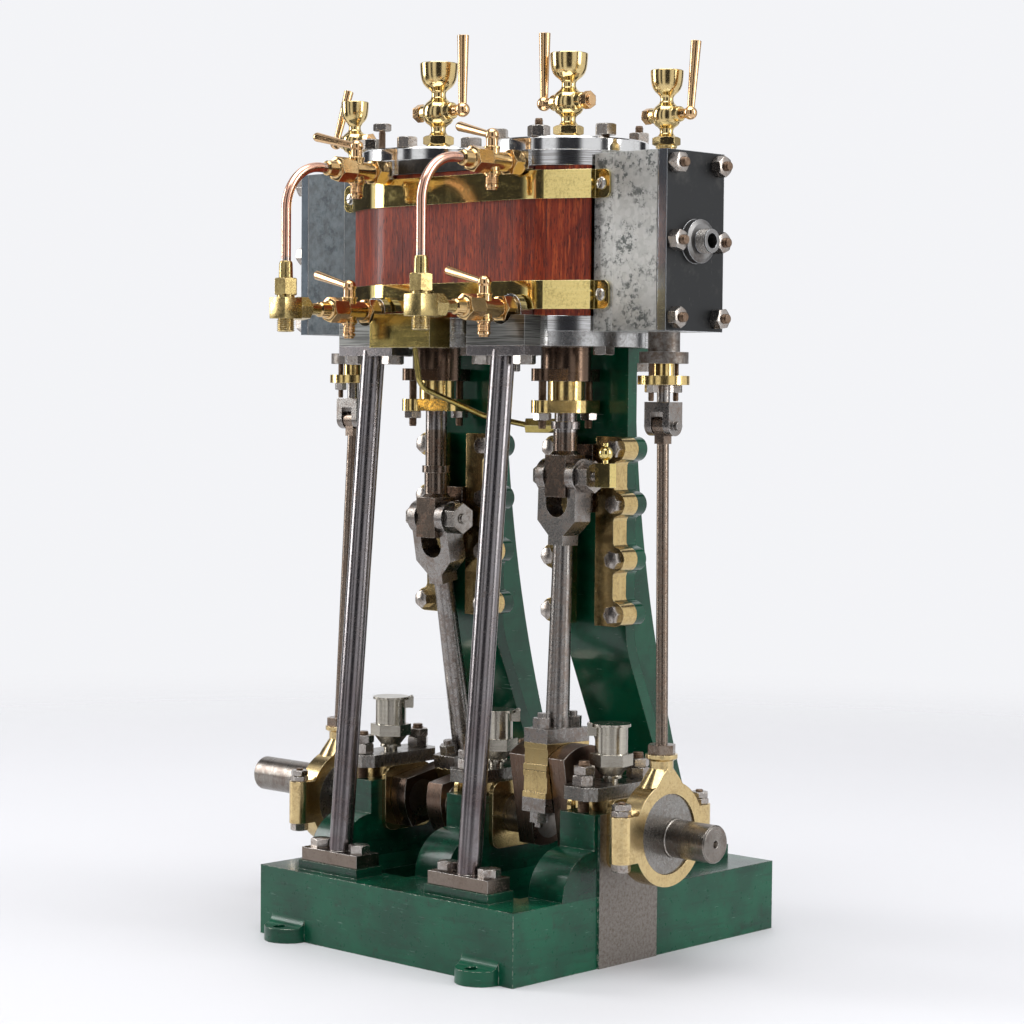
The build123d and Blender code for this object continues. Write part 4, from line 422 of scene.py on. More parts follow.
# %% [markdown]
# ## Wood
# The lagging is a ring of narrow mahogany staves, varnished and upright. The
# staves could be cut one by one, but their joints are so fine that dark lines
# at an even pitch, a tint for each stave and stretched noise for the grain
# give the same look on the one curved solid.

# %% Mahogany
WOOD_RED, WOOD_DARK, WOOD_LIGHT = (0.3, 0.04, 0.012), (0.11, 0.013, 0.006), (0.46, 0.085, 0.022)
PORE_COLOUR, JOINT_COLOUR = (0.035, 0.006, 0.004), (0.05, 0.01, 0.007)
STAVE_WIDTH, STAVE_SLANT = 0.0157, 9.0


def wood():
    """Varnished mahogany staves with upright grain, pores and fine joints between the staves."""
    f = Finish("mahogany")
    stave = f.axis(0) / STAVE_WIDTH + f.axis(1) * STAVE_SLANT
    joint = abs(stave.math("FRACT", stave) - 0.5).step(0.484, 0.496)
    tint = f.node("ShaderNodeTexWhiteNoise", {"noise_dimensions": "1D"}, W=stave.math("FLOOR", stave))
    grain = f.noise(1.0, 5.0, 0.65, at=f.scaled(900.0, 900.0, 60.0))
    broad = f.noise(1.0, 4.0, 0.6, at=f.scaled(170.0, 170.0, 34.0))
    pores = f.noise(1.0, 2.0, 0.5, at=f.scaled(2400.0, 2400.0, 330.0)).step(0.56, 0.64)
    tone = f.mix(broad.step(0.3, 0.7), WOOD_RED, WOOD_DARK)
    tone = f.mix(grain.step(0.5, 0.68) * (tint * 0.5 + 0.5), tone, WOOD_LIGHT)
    tone = f.mix(grain.step(0.5, 0.34) * 0.75, tone, WOOD_DARK)
    tone = f.mix(pores * 0.75, tone, PORE_COLOUR)
    tone = f.mix(joint * 0.5, tone, JOINT_COLOUR)
    f.shade(Base_Color=tone, Roughness=(grain * 0.2 + 0.34).clamp(), Specular_IOR_Level=0.22)
    f.shade(Coat_Weight=0.14, Coat_Roughness=0.12)
    f.relief(grain * 0.3 - pores * 0.6 - joint, DEEP_RELIEF, FINE_EDGE)
    return f.material


# %% [markdown]
# ## Castings and forgings with more than one look
# One casting has turned, sawn and raw faces, and a shaft is bright where it runs
# and rusty elsewhere. The faces could be given separate materials, but here a
# mask that asks for the place on the engine picks the look, so each piece keeps
# one material. The places below are in metres, from the solids.

# %% Port blocks and chests: pale grey crystals on the right, and painted shade on the left
PALE_LOW, PALE_HIGH, PIT_GREEN = (0.42, 0.42, 0.4), (0.6, 0.6, 0.58), (0.05, 0.06, 0.058)
CRYSTAL, LEFT_SHADE_DARK, LEFT_SHADE_BLUE = (0.55, 0.56, 0.53), (0.014, 0.02, 0.025), (0.04, 0.052, 0.06)
RUST = (0.16, 0.07, 0.035)


def mottled(f):
    """Pale grey crystals over darker iron on the right, and painted shade, dark blue-grey, on the left."""
    flakes = f.cells(420.0, output=1)
    grey = f.node("ShaderNodeRGBToBW", Color=flakes.socket)
    spots = f.noise(360.0, 6.0, 0.8)
    tone = f.mix(grey.step(0.1, 0.9) * 0.5, PALE_LOW, PALE_HIGH)
    pitted = spots.step(0.5, 0.56) * f.noise(95.0, 3.0, 0.6).step(0.4, 0.56)
    tone = f.mix(pitted * 0.85, tone, PIT_GREEN)
    pale_iron = f.mix(spots.step(0.42, 0.34) * 0.6, tone, CRYSTAL)
    # Painted shade: the left-hand pieces are coloured dark blue-grey, as they look in shade.
    painted_left_shade = f.mix(f.noise(240.0, 5.0, 0.7).step(0.35, 0.65), LEFT_SHADE_DARK, LEFT_SHADE_BLUE)
    return f.mix((f.axis(0) < 0.0) * 0.94, pale_iron, painted_left_shade), spots


# %% Cylinders
BLOCK_FACE, LUG_TOP, LUG_FACE = 0.0675, 0.2611, 0.0331
FLANGE_BRIGHT, FLANGE_GREY, FLANGE_EDGE_HIGHLIGHT = (0.62, 0.62, 0.62), (0.42, 0.41, 0.4), (0.75, 0.75, 0.73)
LUG_DARK, LUG_GREY, BLOCK_SPOT = (0.085, 0.085, 0.08), (0.2, 0.2, 0.19), (0.05, 0.055, 0.05)
CASTING_RELIEF = 0.00004


def cylinder_steel():
    """Bright turned flanges, dark brushed lugs and mottled port blocks."""
    f = Finish("cylinder castings")
    block = abs(f.axis(0)) > BLOCK_FACE
    lug = (f.axis(2) < LUG_TOP) * (abs(f.axis(1)) > LUG_FACE)
    # patchy carries the painted shade of the left port block as well.
    patchy, spots = mottled(f)
    lines = f.noise(1.0, 2.0, 0.5, at=f.scaled(60.0, 60.0, 2600.0))
    flange = f.mix(lines.step(0.4, 0.6), FLANGE_BRIGHT, FLANGE_GREY)
    lug_tone = f.mix(lines.step(0.35, 0.65), LUG_DARK, LUG_GREY)
    spotted = f.mix(spots.step(0.5, 0.62), patchy, BLOCK_SPOT)
    tone = f.mix(block, f.mix(lug, flange, lug_tone), f.mix(0.55, patchy, spotted))
    # Painted highlight: the corners are mixed towards a pale grey.
    tone = f.mix(f.edges(FINE_EDGE) * 0.8, tone, FLANGE_EDGE_HIGHLIGHT)
    f.shade(Base_Color=tone, Metallic=1.0 - block * 0.35)
    f.shade(Roughness=(lines * 0.12 + lug * 0.14 + block * (spots * 0.3 + 0.15) + 0.1).clamp())
    f.relief(lines * 0.3 + block * spots, CASTING_RELIEF, BROKEN_EDGE)
    return f.material


# %% Bottom covers
DISC_BOTTOM, DISC_FADE = 0.2487, 0.0002
STUFFING_BROWN, DISC_BRIGHT = (0.15, 0.1, 0.07), (0.6, 0.6, 0.59)


def bottom_iron():
    """Bright turned discs above rusty brown stuffing boxes."""
    f = Finish("bottom covers")
    disc = f.axis(2).step(DISC_BOTTOM, DISC_BOTTOM + DISC_FADE)
    tone = f.mix(disc, STUFFING_BROWN, DISC_BRIGHT)
    weather(f, tone, (0.08, 0.045, 0.03), amount=0.4, rough=0.2, lines=(60.0, 60.0, 1800.0),
            bright=(0.6, 0.55, 0.5))
    return f.material


# %% Valve chests
PACKING_FACE, PACKING_FADE, BOX_TOP = 0.0998, 0.0003, 0.2545
BOX_PALE, BOX_BROWN = (0.24, 0.22, 0.2), (0.12, 0.09, 0.07)
PACKING_COLOUR, CHEST_EDGE_HIGHLIGHT = (0.03, 0.022, 0.016), (0.7, 0.7, 0.68)


def chest_iron():
    """Mottled walls, with a thin dark line of packing behind the cover."""
    f = Finish("chest castings")
    # patchy carries the painted shade of the left chest as well.
    patchy, spots = mottled(f)
    packing = abs(f.axis(0)).step(PACKING_FACE, PACKING_FACE + PACKING_FADE)
    box = f.axis(2) < BOX_TOP
    patchy = f.mix(box, patchy, f.mix(spots.step(0.4, 0.6), BOX_PALE, BOX_BROWN))
    tone = f.mix(packing, patchy, PACKING_COLOUR)
    # Painted highlight: the corners are mixed towards a pale grey.
    tone = f.mix(f.edges(BROKEN_EDGE) * 0.6, tone, CHEST_EDGE_HIGHLIGHT)
    f.shade(Base_Color=tone, Metallic=0.75 - packing * 0.6, Roughness=(spots * 0.35 + 0.22).clamp())
    f.relief(spots - packing, DEEP_RELIEF, BROKEN_EDGE)
    return f.material


# %% Chest covers
COVER_FACE, COVER_FADE = 0.1046, 0.0001
BOSS_Z, BOSS_RADIUS = 0.28985, 0.0088
BLACK, RUBBED = (0.012, 0.013, 0.014), (0.1, 0.095, 0.085)
RIM_BRIGHT, RIM_GREY, RIM_LEFT_SHADE = (0.6, 0.64, 0.68), (0.46, 0.49, 0.53), (0.05, 0.06, 0.07)
BOSS_GREY, BOSS_BROWN, COVER_EDGE_HIGHLIGHT = (0.22, 0.215, 0.21), (0.1, 0.085, 0.075), (0.7, 0.72, 0.74)


def cover_iron():
    """A black satin face inside a machined rim, bright on the right and darkened with painted shade on the
    left.
    """
    f = Finish("chest covers")
    face = abs(f.axis(0)).step(COVER_FACE, COVER_FACE + COVER_FADE)
    lines = f.noise(1.0, 2.0, 0.5, at=f.scaled(60.0, 60.0, 1900.0))
    rub = f.noise(70.0, 5.0, 0.7).step(0.5, 0.75)
    scratch = f.noise(1.0, 3.0, 0.6, at=f.scaled(120.0, 1500.0, 160.0)).step(0.68, 0.73)
    black = f.mix(rub * 0.4 + scratch * 0.5, BLACK, RUBBED)
    rim = f.mix(lines.step(0.35, 0.65), RIM_BRIGHT, RIM_GREY)
    # Painted shade: the rim of the left cover is coloured dark blue-grey.
    rim = f.mix(f.axis(0) < 0.0, rim, RIM_LEFT_SHADE)
    y, z = f.axis(1), f.axis(2) - BOSS_Z
    boss = ((y * y + z * z) < BOSS_RADIUS * BOSS_RADIUS) * face
    black = f.mix(boss, black, f.mix(rub, BOSS_GREY, BOSS_BROWN))
    tone = f.mix(face, rim, black)
    # Painted highlight: the corners are coloured a pale grey.
    tone = f.mix(f.edges(BROKEN_EDGE), tone, COVER_EDGE_HIGHLIGHT)
    f.shade(Base_Color=tone, Metallic=1.0 - (face - boss) * 0.55)
    f.shade(Roughness=(face * 0.22 + rub * 0.1 + lines * 0.1 + 0.12).clamp())
    f.relief(lines * 0.15 - scratch, FINE_RELIEF, BROKEN_EDGE)
    return f.material


# %% Crankshaft
SHAFT_HEIGHT, SHAFT_RADIUS = 0.0537, 0.00815
SHAFT_GREY, WEB_BROWN, SHAFT_RUST = (0.27, 0.25, 0.225), (0.13, 0.08, 0.055), (0.09, 0.055, 0.04)


def crank_steel():
    """A grey shaft with light rust between rusty brown webs with clean edges."""
    f = Finish("crankshaft")
    y, z = f.axis(1), f.axis(2) - SHAFT_HEIGHT
    web = (y * y + z * z) > SHAFT_RADIUS * SHAFT_RADIUS
    tone = f.mix(web * 0.85, SHAFT_GREY, WEB_BROWN)
    tone = f.mix(f.noise(240.0, 5.0, 0.7).step(0.45, 0.7) * 0.45, tone, SHAFT_RUST)
    weather(f, tone, RUST, amount=0.3, rough=0.26, lines=(2600.0, 90.0, 90.0), brush=0.25, pits=0.5,
            bright=(0.7, 0.66, 0.6), edge=0.0005)
    return f.material


# %% Crossheads
ROD_START, ROD_FADE, CROSSHEAD_HALF = 0.2135, 0.001, 0.0063
SLIPPER_BROWN, CROSSHEAD_BROWN, ROD_GREY = (0.1, 0.065, 0.045), (0.2, 0.16, 0.13), (0.3, 0.28, 0.27)


def crosshead_steel():
    """A bright piston rod above a brown crosshead and slipper."""
    f = Finish("crossheads")
    rod = f.axis(2).step(ROD_START, ROD_START + ROD_FADE)
    block = abs(f.axis(1)) < CROSSHEAD_HALF
    tone = f.mix(rod, f.mix(block, SLIPPER_BROWN, CROSSHEAD_BROWN), ROD_GREY)
    weather(f, tone, RUST, amount=0.45, rough=0.2, lines=(900.0, 900.0, 160.0), brush=0.35,
            bright=(0.7, 0.66, 0.6))
    return f.material


# %% Columns
FOOT_TOP, FOOT_FADE, BROWN_TOP, BROWN_FULL = 0.0392, 0.0008, 0.16, 0.05
COLUMN_BRIGHT, COLUMN_BROWN, FOOT_DULL = (0.25, 0.235, 0.24), (0.14, 0.105, 0.11), (0.2, 0.16, 0.125)


def column_steel():
    """Polished columns, bright above and browner below, on dull foot plates."""
    f = Finish("columns")
    foot = f.axis(2).step(FOOT_TOP, FOOT_TOP - FOOT_FADE)
    low = f.axis(2).step(BROWN_TOP, BROWN_FULL) * f.noise(70.0, 4.0, 0.6).step(0.3, 0.7)
    tone = f.mix(low * 0.8, COLUMN_BRIGHT, COLUMN_BROWN)
    tone = f.mix(foot * 0.8, tone, FOOT_DULL)
    weather(f, tone, (0.12, 0.08, 0.06), amount=0.35, rough=0.2, lines=(260.0, 260.0, 900.0), brush=0.1,
            pits=0.4, bright=(0.75, 0.73, 0.7))
    return f.material


# %% Copper pipes
FERRULE_TOP, NUT_FACE = (0.2855, 0.283), (-0.0685, -0.0668)  # where the solder starts and is full
COPPER, SOLDER = (0.84, 0.5, 0.37), (0.42, 0.4, 0.38)


def pipe_copper():
    """Pink copper, with grey solder where the pipe enters its fittings."""
    f = Finish("copper pipe")
    ends = (f.axis(2).step(*FERRULE_TOP) + f.axis(1).step(*NUT_FACE)).clamp()
    tone = f.mix(ends * f.noise(500.0).step(0.3, 0.6), COPPER, SOLDER)
    weather(f, tone, (0.5, 0.26, 0.18), amount=0.3, rough=0.16, lines=(400.0, 400.0, 400.0), brush=0.15)
    return f.material


# %% [markdown]
# ## One finish for each piece
# The steels differ in how dark, brown and smooth they are, and the brasses in
# how yellow, red or olive. One metal for all of them would be shorter, but the
# real engine was put together from many bars and castings, and it shows.

# %% Steels and irons
nut_steel = metal("nut steel", (0.42, 0.39, 0.36), (0.19, 0.12, 0.08), amount=0.45, rough=0.2,
                  bright=(0.85, 0.82, 0.77))
screw_steel = metal("screw steel", (0.5, 0.48, 0.45), (0.2, 0.15, 0.1), amount=0.3, rough=0.18,
                    bright=(0.9, 0.88, 0.84))
nipple_steel = metal("nipple steel", (0.3, 0.28, 0.26), (0.14, 0.1, 0.07), amount=0.4, rough=0.25,
                     bright=(0.7, 0.68, 0.64))
thread_steel = metal("stud threads", (0.24, 0.17, 0.12), (0.11, 0.06, 0.035), amount=0.6, rough=0.35)
black_iron = metal("black iron", (0.03, 0.03, 0.03), (0.06, 0.05, 0.04), amount=0.4, rough=0.35,
                   bright=(0.3, 0.3, 0.3))
turned_steel = metal("turned steel", (0.74, 0.74, 0.73), (0.4, 0.38, 0.36), amount=0.15, rough=0.09,
                     lines=(60.0, 60.0, 1800.0), brush=0.15, bright=(0.95, 0.95, 0.95))
rod_steel = metal("rod steel", (0.29, 0.275, 0.26), (0.17, 0.105, 0.07), amount=0.5, rough=0.24,
                  lines=(500.0, 500.0, 500.0), brush=0.12, pits=0.8, bright=(0.75, 0.72, 0.68))
brown_rod = metal("speckled rod", (0.26, 0.21, 0.17), (0.16, 0.09, 0.055), amount=0.55, rough=0.22, pits=1.0)
cap_steel = metal("cap steel", (0.3, 0.29, 0.27), (0.2, 0.13, 0.09), amount=0.4, rough=0.22,
                  lines=(80.0, 1600.0, 400.0), brush=0.4, pits=0.7, bright=(0.8, 0.77, 0.72))
nickel = metal("dull nickel", (0.48, 0.45, 0.385), (0.34, 0.3, 0.23), amount=0.25, rough=0.2,
               lines=(60.0, 60.0, 1900.0), brush=0.2, pits=0.1, bright=(0.85, 0.8, 0.7))
sheave_steel = metal("sheave steel", (0.3, 0.29, 0.27), (0.15, 0.1, 0.07), amount=0.4, rough=0.25, pits=0.8)
print("metals so far:", len(bpy.data.materials))

# %% Brasses
band_brass = metal("band brass", (0.8, 0.64, 0.26), (0.42, 0.34, 0.1), amount=0.25, rough=0.07,
                   lines=(60.0, 60.0, 2200.0), brush=0.12, bright=(1.0, 0.9, 0.56))
gunmetal = metal("gunmetal", (0.68, 0.47, 0.22), (0.34, 0.2, 0.085), amount=0.35, rough=0.12,
                 lines=(200.0, 1500.0, 200.0), brush=0.12, bright=(1.0, 0.85, 0.56), edge=0.0002)
block_brass = metal("block brass", (0.56, 0.44, 0.19), (0.27, 0.18, 0.07), amount=0.5, rough=0.2,
                    brush=0.2, pits=0.5, bright=(1.0, 0.88, 0.6), edge=0.0002)
lubricator_brass = metal("lubricator brass", (0.74, 0.57, 0.27), (0.4, 0.28, 0.11), amount=0.3, rough=0.13,
                         lines=(120.0, 120.0, 1800.0), brush=0.12)
lever_brass = metal("lever bronze", (0.74, 0.49, 0.26), (0.38, 0.2, 0.1), amount=0.35, rough=0.12, brush=0.12)
keep_brass = metal("tarnished brass", (0.62, 0.47, 0.22), (0.25, 0.16, 0.065), amount=0.4, rough=0.15,
                   lines=(900.0, 900.0, 120.0), brush=0.2, pits=0.2, bright=(0.95, 0.8, 0.5))
olive_brass = metal("olive brass", (0.46, 0.37, 0.13), (0.24, 0.19, 0.06), amount=0.3, rough=0.14,
                    lines=(50.0, 50.0, 1500.0), brush=0.3, pits=0.1, bright=(1.0, 0.9, 0.6), edge=0.0005)
strap_brass = metal("strap brass", (0.66, 0.51, 0.26), (0.32, 0.21, 0.09), amount=0.35, rough=0.17,
                    lines=(500.0, 500.0, 500.0), brush=0.15, pits=0.4, bright=(1.0, 0.86, 0.56))
gland_brass = metal("gland brass", (0.82, 0.62, 0.26), (0.3, 0.17, 0.06), amount=0.4, rough=0.14,
                    bright=(1.0, 0.86, 0.55))
print("metals so far:", len(bpy.data.materials))

# %% Each solid gets its finish
# A right-hand piece has the finish of its left-hand twin, and what isn't listed is nut steel.
FINISHES = {
    "bedplate": bed_paint(), "standard_left": standard_paint(), "lagging": wood(),
    "cylinder_left": cylinder_steel(), "bottom_covers": bottom_iron(), "cylinder_covers": turned_steel,
    "valve_chests": chest_iron(), "chest_covers": cover_iron(), "top_fillers": black_iron,
    "crankshaft": crank_steel(), "crosshead_left": crosshead_steel(), "column_left": column_steel(),
    "copper_pipes": pipe_copper(), "drain_cocks": gunmetal, "pipe_blocks": block_brass,
    "band_lower": band_brass, "band_upper": band_brass, "crosshead_oiler": band_brass,
    "lubricators": lubricator_brass, "drip_box": olive_brass, "drip_pipe": olive_brass,
    "guide_keeps": keep_brass, "bearing_brasses": keep_brass, "big_end_brasses": keep_brass,
    "eccentric_straps": strap_brass, "piston_glands": gland_brass, "valve_glands": gland_brass,
    "valve_rods": rod_steel, "connecting_rod_left": rod_steel, "big_end_keeps": rod_steel,
    "eccentric_rods": brown_rod, "eccentric_sheaves": sheave_steel, "bearing_caps": cap_steel,
    "oil_cups": nickel,
}
for name, node in nodes.items():
    finish = FINISHES.get(name) or FINISHES.get(name.replace("_right", "_left"))
    if name.startswith(("cock_lever", "lubricator_lever")):
        finish = lever_brass
    elif name.startswith("oil_cup_lid"):
        finish = nickel
    node.data.materials.clear()
    node.data.materials.append(finish or nut_steel)
print("finishes:", len(bpy.data.materials))

# %% [markdown]
# ## Small shapes
# The small fittings are what a lathe, a saw and a vice would make. A turned
# piece is a line of points spun round an axis, a nut is a six-sided ring drawn
# upwards with its corners taken off, and a spring is a small circle carried
# round and up. A cylinder primitive would be quicker, but it has no chamfer,
# bead or thread, and those catch the light. Sizes here are in millimetres, and
# each shape stands upright at the origin until it is put in its place.

# %% Turned shapes
FULL_TURN, WELD = 2 * pi, 0.002


def spun(profile, sides=28, bore=0.0):
    """Spins a line of (height, radius) points, closed to the axis or to a bore along it."""
    part = bmesh.new()
    line = [(profile[0][0], bore), *profile, (profile[-1][0], bore)]
    points = [part.verts.new((radius, 0.0, height)) for height, radius in line]
    edges = [part.edges.new(pair) for pair in zip(points, points[1:])]
    if bore:
        edges.append(part.edges.new((points[-1], points[0])))
    bmesh.ops.spin(part, geom=points + edges, cent=(0, 0, 0), axis=(0, 0, 1), angle=FULL_TURN,
                   steps=sides, use_merge=True)
    bmesh.ops.remove_doubles(part, verts=part.verts, dist=WELD)
    return part


def ridges(low, high, pitch, count, start=0.0):
    """The steps of a short outside thread, from a start height."""
    steps = []
    for k in range(count):
        level = start + pitch * k
        steps += [(level, low), (level + pitch * 0.4, high), (level + pitch * 0.6, high)]
    return steps + [(start + pitch * count, low)]


# %% Nuts
RIM_SHARE, CORNER_ANGLE, CORNER_CUTS = 0.475, radians(28), 7


def drawn(part, edges, rule):
    """Draws a ring of edges into one more ring of wall, and moves its corners by a rule."""
    made = bmesh.ops.extrude_edge_only(part, edges=edges)["geom"]
    for corner in made:
        if isinstance(corner, bmesh.types.BMVert):
            corner.co = rule(corner.co)
    return [edge for edge in made if isinstance(edge, bmesh.types.BMEdge) and edge.is_boundary]


def hexagon(flats, height, under=False):
    """A nut: a six-sided wall with the corners of its upper or both ends taken off by a cone."""
    part = bmesh.new()
    bmesh.ops.create_circle(part, segments=6, radius=flats / sqrt(3))
    bmesh.ops.subdivide_edges(part, edges=part.edges, cuts=CORNER_CUTS)
    rim = flats * RIM_SHARE

    def drop(corner):
        return max(0.0, corner.xy.length - rim) * tan(CORNER_ANGLE)

    def to_rim(corner, level):
        return Vector((corner.x, corner.y, 0.0)).normalized() * rim + Vector((0.0, 0.0, level))

    foot = list(part.edges)
    top = drawn(part, foot, lambda c: Vector((c.x, c.y, height - drop(c))))
    top = drawn(part, top, lambda c: to_rim(c, height))
    bmesh.ops.edgeloop_fill(part, edges=top)
    if under:
        for corner in {corner for edge in foot for corner in edge.verts}:
            corner.co.z = drop(corner.co)
        foot = drawn(part, foot, lambda c: to_rim(c, 0.0))
    bmesh.ops.edgeloop_fill(part, edges=foot)
    return part


# %% Blocks, springs and screw heads
STEPS_A_TURN, WIRE_SIDES = 14, 8


def sawn(size, corner):
    """A block with its edges broken."""
    part = bmesh.new()
    bmesh.ops.create_cube(part, size=1.0)
    bmesh.ops.scale(part, vec=size, verts=part.verts)
    bmesh.ops.bevel(part, geom=part.edges, offset=corner, affect="EDGES", segments=2, profile=0.5,
                    material=-1)
    return part


def coiled(radius, wire, length, turns):
    """A helical spring from a small circle carried round and up."""
    part, steps = bmesh.new(), turns * STEPS_A_TURN
    upright = Matrix.Translation((radius, 0, 0)) @ Matrix.Rotation(pi / 2, 4, "X")
    bmesh.ops.create_circle(part, cap_ends=True, segments=WIRE_SIDES, radius=wire, matrix=upright)
    ring = part.verts[:] + part.edges[:] + part.faces[:]
    bmesh.ops.spin(part, geom=ring, cent=(0, 0, 0), axis=(0, 0, 1), dvec=(0, 0, length / steps),
                   angle=FULL_TURN * turns, steps=steps)
    return part


def slotted(radius, height, slot):
    """A screw head: a thin disc under two half domes with the slot between them."""
    dome = [(0.0, radius), (height * 0.4, radius), (height * 0.8, radius * 0.85), (height, radius * 0.5)]
    halves = [spun([(0.0, radius), (height * 0.35, radius * 0.98)])]
    for hand in (1, -1):
        half = spun(dome)
        everything = half.verts[:] + half.edges[:] + half.faces[:]
        cut = bmesh.ops.bisect_plane(half, geom=everything, plane_co=(0, hand * slot / 2, 0),
                                     plane_no=(0, hand, 0), clear_inner=True)
        edges = [edge for edge in cut["geom_cut"] if isinstance(edge, bmesh.types.BMEdge)]
        bmesh.ops.holes_fill(half, edges=edges)
        halves.append(half)
    return halves


# %% A piece is many shapes in their places
SHARP = radians(30)


def stand(at, axis=(0.0, 0.0, 1.0), turn=0.0):
    """The place of a fitting that stands at a point and faces along an axis."""
    facing = Vector(axis).to_track_quat("Z", "Y").to_matrix().to_4x4()
    return Matrix.Translation(Vector(at)) @ facing @ Matrix.Rotation(radians(turn), 4, "Z")


class Piece:
    """A mesh under construction, in millimetres until it is done."""

    def __init__(self):
        self.shape = bmesh.new()

    def add(self, place, part):
        """Puts a shape in its place and joins it to the piece."""
        bmesh.ops.transform(part, matrix=place, verts=part.verts)
        mesh = bpy.data.meshes.new("shape")
        part.to_mesh(mesh)
        part.free()
        self.shape.from_mesh(mesh)
        bpy.data.meshes.remove(mesh)

    def turned(self, place, steps, sides=28, bore=0.0):
        self.add(place, spun(steps, sides, bore))

    def nut(self, place, flats, height, under=False):
        self.add(place, hexagon(flats, height, under))

    def thread(self, place, radius, start, length, pitch=0.6):
        """Screwed rod with a chamfered tip."""
        depth = pitch * 0.5
        steps = ridges(radius - depth, radius, pitch, int((length - pitch) / pitch), start)
        end = start + length
        tip = [(end - depth, radius - depth * 0.6), (end, radius - depth * 1.6)]
        self.turned(place, steps + tip, 20)

    def done(self, name, finish, body, slot, *replaced):
        """Makes the shapes a named piece in metres that rides on a body."""
        bmesh.ops.scale(self.shape, vec=(MM, MM, MM), verts=self.shape.verts)
        bmesh.ops.recalc_face_normals(self.shape, faces=self.shape.faces)
        for face in self.shape.faces:
            face.smooth = True
        for edge in self.shape.edges:
            edge.smooth = edge.calc_face_angle(pi) < SHARP
        gaps = sum(not edge.is_manifold for edge in self.shape.edges)
        mesh = bpy.data.meshes.new(name)
        self.shape.to_mesh(mesh)
        self.shape.free()
        mesh.materials.append(finish)
        piece = new_object(name, mesh)
        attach(piece, body)
        if replaced:
            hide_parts(*replaced)
        print(name, len(mesh.polygons), "faces,", gaps, "open edges")


# %% [markdown]
# ## Nuts, studs and bolts
# Real fasteners have chamfered corners, threaded ends that stand out of the
# nut by different amounts, and heads that are never turned alike. One nut could
# be copied everywhere, but a turn of its own for each breaks up the pattern.

# %% Places from the solids, in millimetres
CYLINDER_X, VALVE_X, STRAP_X = 37.4, 89.5, 94.6
BEARINGS = (-64.2, 0.0, 64.2)
COVER_TOP, BRACKET_BOTTOM = 332.0, 248.8
CHEST_FACE, CHEST_MIDDLE = 104.8, 289.85
DOWN, UP, FRONT, BACK = (0, 0, -1), (0, 0, 1), (0, -1, 0), (0, 1, 0)


def turn_of(i, spread=60.0):
    """A turn that differs from one fastener to the next, the same on every run."""
    return (i * 37.7) % spread


print("cylinders at", CYLINDER_X, "mm and valve rods at", VALVE_X, "mm from the middle")

# %% Main bearing studs, each with a nut and a thinner lock nut
STUD_Y, STUD_FOOT, STUD_RADIUS, STUD_LENGTH = 16.7, 62.0, 2.4, 20.4
CAP_TOP, LOCK_NUT_FOOT = 72.7, 77.3
BEARING_FLATS, NUT_HEIGHT, LOCK_NUT_HEIGHT = 8.2, 4.5, 3.6
studs, nuts = Piece(), Piece()
for i, (x, y) in enumerate((x, y) for x in BEARINGS for y in (-STUD_Y, STUD_Y)):
    studs.thread(stand((x, y, STUD_FOOT)), STUD_RADIUS, 0.0, STUD_LENGTH + (i % 3) * 0.4)
    nuts.nut(stand((x, y, CAP_TOP), turn=turn_of(i)), BEARING_FLATS, NUT_HEIGHT, under=True)
    lock_nut = stand((x, y, LOCK_NUT_FOOT), turn=turn_of(i) + 17)
    nuts.nut(lock_nut, BEARING_FLATS, LOCK_NUT_HEIGHT, under=True)
studs.done("bearing_stud_threads", thread_steel, "engine", "steel")
nuts.done("bearing_nuts", nut_steel, "engine", "steel", "bearing_studs")

# %% Cylinder cover nuts and bolts
COVER_BOLT_RADIUS, COVER_FLATS, COVER_STUD, COVER_PITCH = 29.0, 7.9, 1.7, 0.55
LOWER_NUT_HEIGHT, TALL_STUD, SHORT_STUD = 3.4, 8.4, 3.0
# Each row: the angle on the cover, how far it is raised, and whether a stud stands out of it
RIGHT_COVER = ((45, 0, True), (105, 0.9, False), (165, 0, False),
               (225, 1.0, False), (288, 0, True), (343, 1.1, False))
LEFT_COVER = ((45, 0, True), (105, 0, True), (165, 0, False),
              (225, 1.2, False), (288, 0, False), (343, 0, False))
# How far from the cover's middle a lower nut is clear of the front lugs, and of the back ones
FRONT_CLEAR, BACK_CLEAR = 19.9, 24.5
studs, nuts = Piece(), Piece()
for side, rows in ((1, RIGHT_COVER), (-1, LEFT_COVER)):
    for i, (angle, lift, stud) in enumerate(rows):
        x = side * CYLINDER_X + COVER_BOLT_RADIUS * cos(radians(angle))
        y = COVER_BOLT_RADIUS * sin(radians(angle))
        beside = abs(x - side * CYLINDER_X)
        turn, length = turn_of(i + side), TALL_STUD if stud else SHORT_STUD
        nuts.nut(stand((x, y, COVER_TOP + lift), turn=turn), COVER_FLATS, NUT_HEIGHT, under=stud)
        studs.thread(stand((x, y, COVER_TOP - 1)), COVER_STUD, 0.0, length, COVER_PITCH)
        if beside > FRONT_CLEAR and (y < 0 or beside > BACK_CLEAR):
            nuts.nut(stand((x, y, BRACKET_BOTTOM), DOWN, turn_of(i)), COVER_FLATS, LOWER_NUT_HEIGHT)

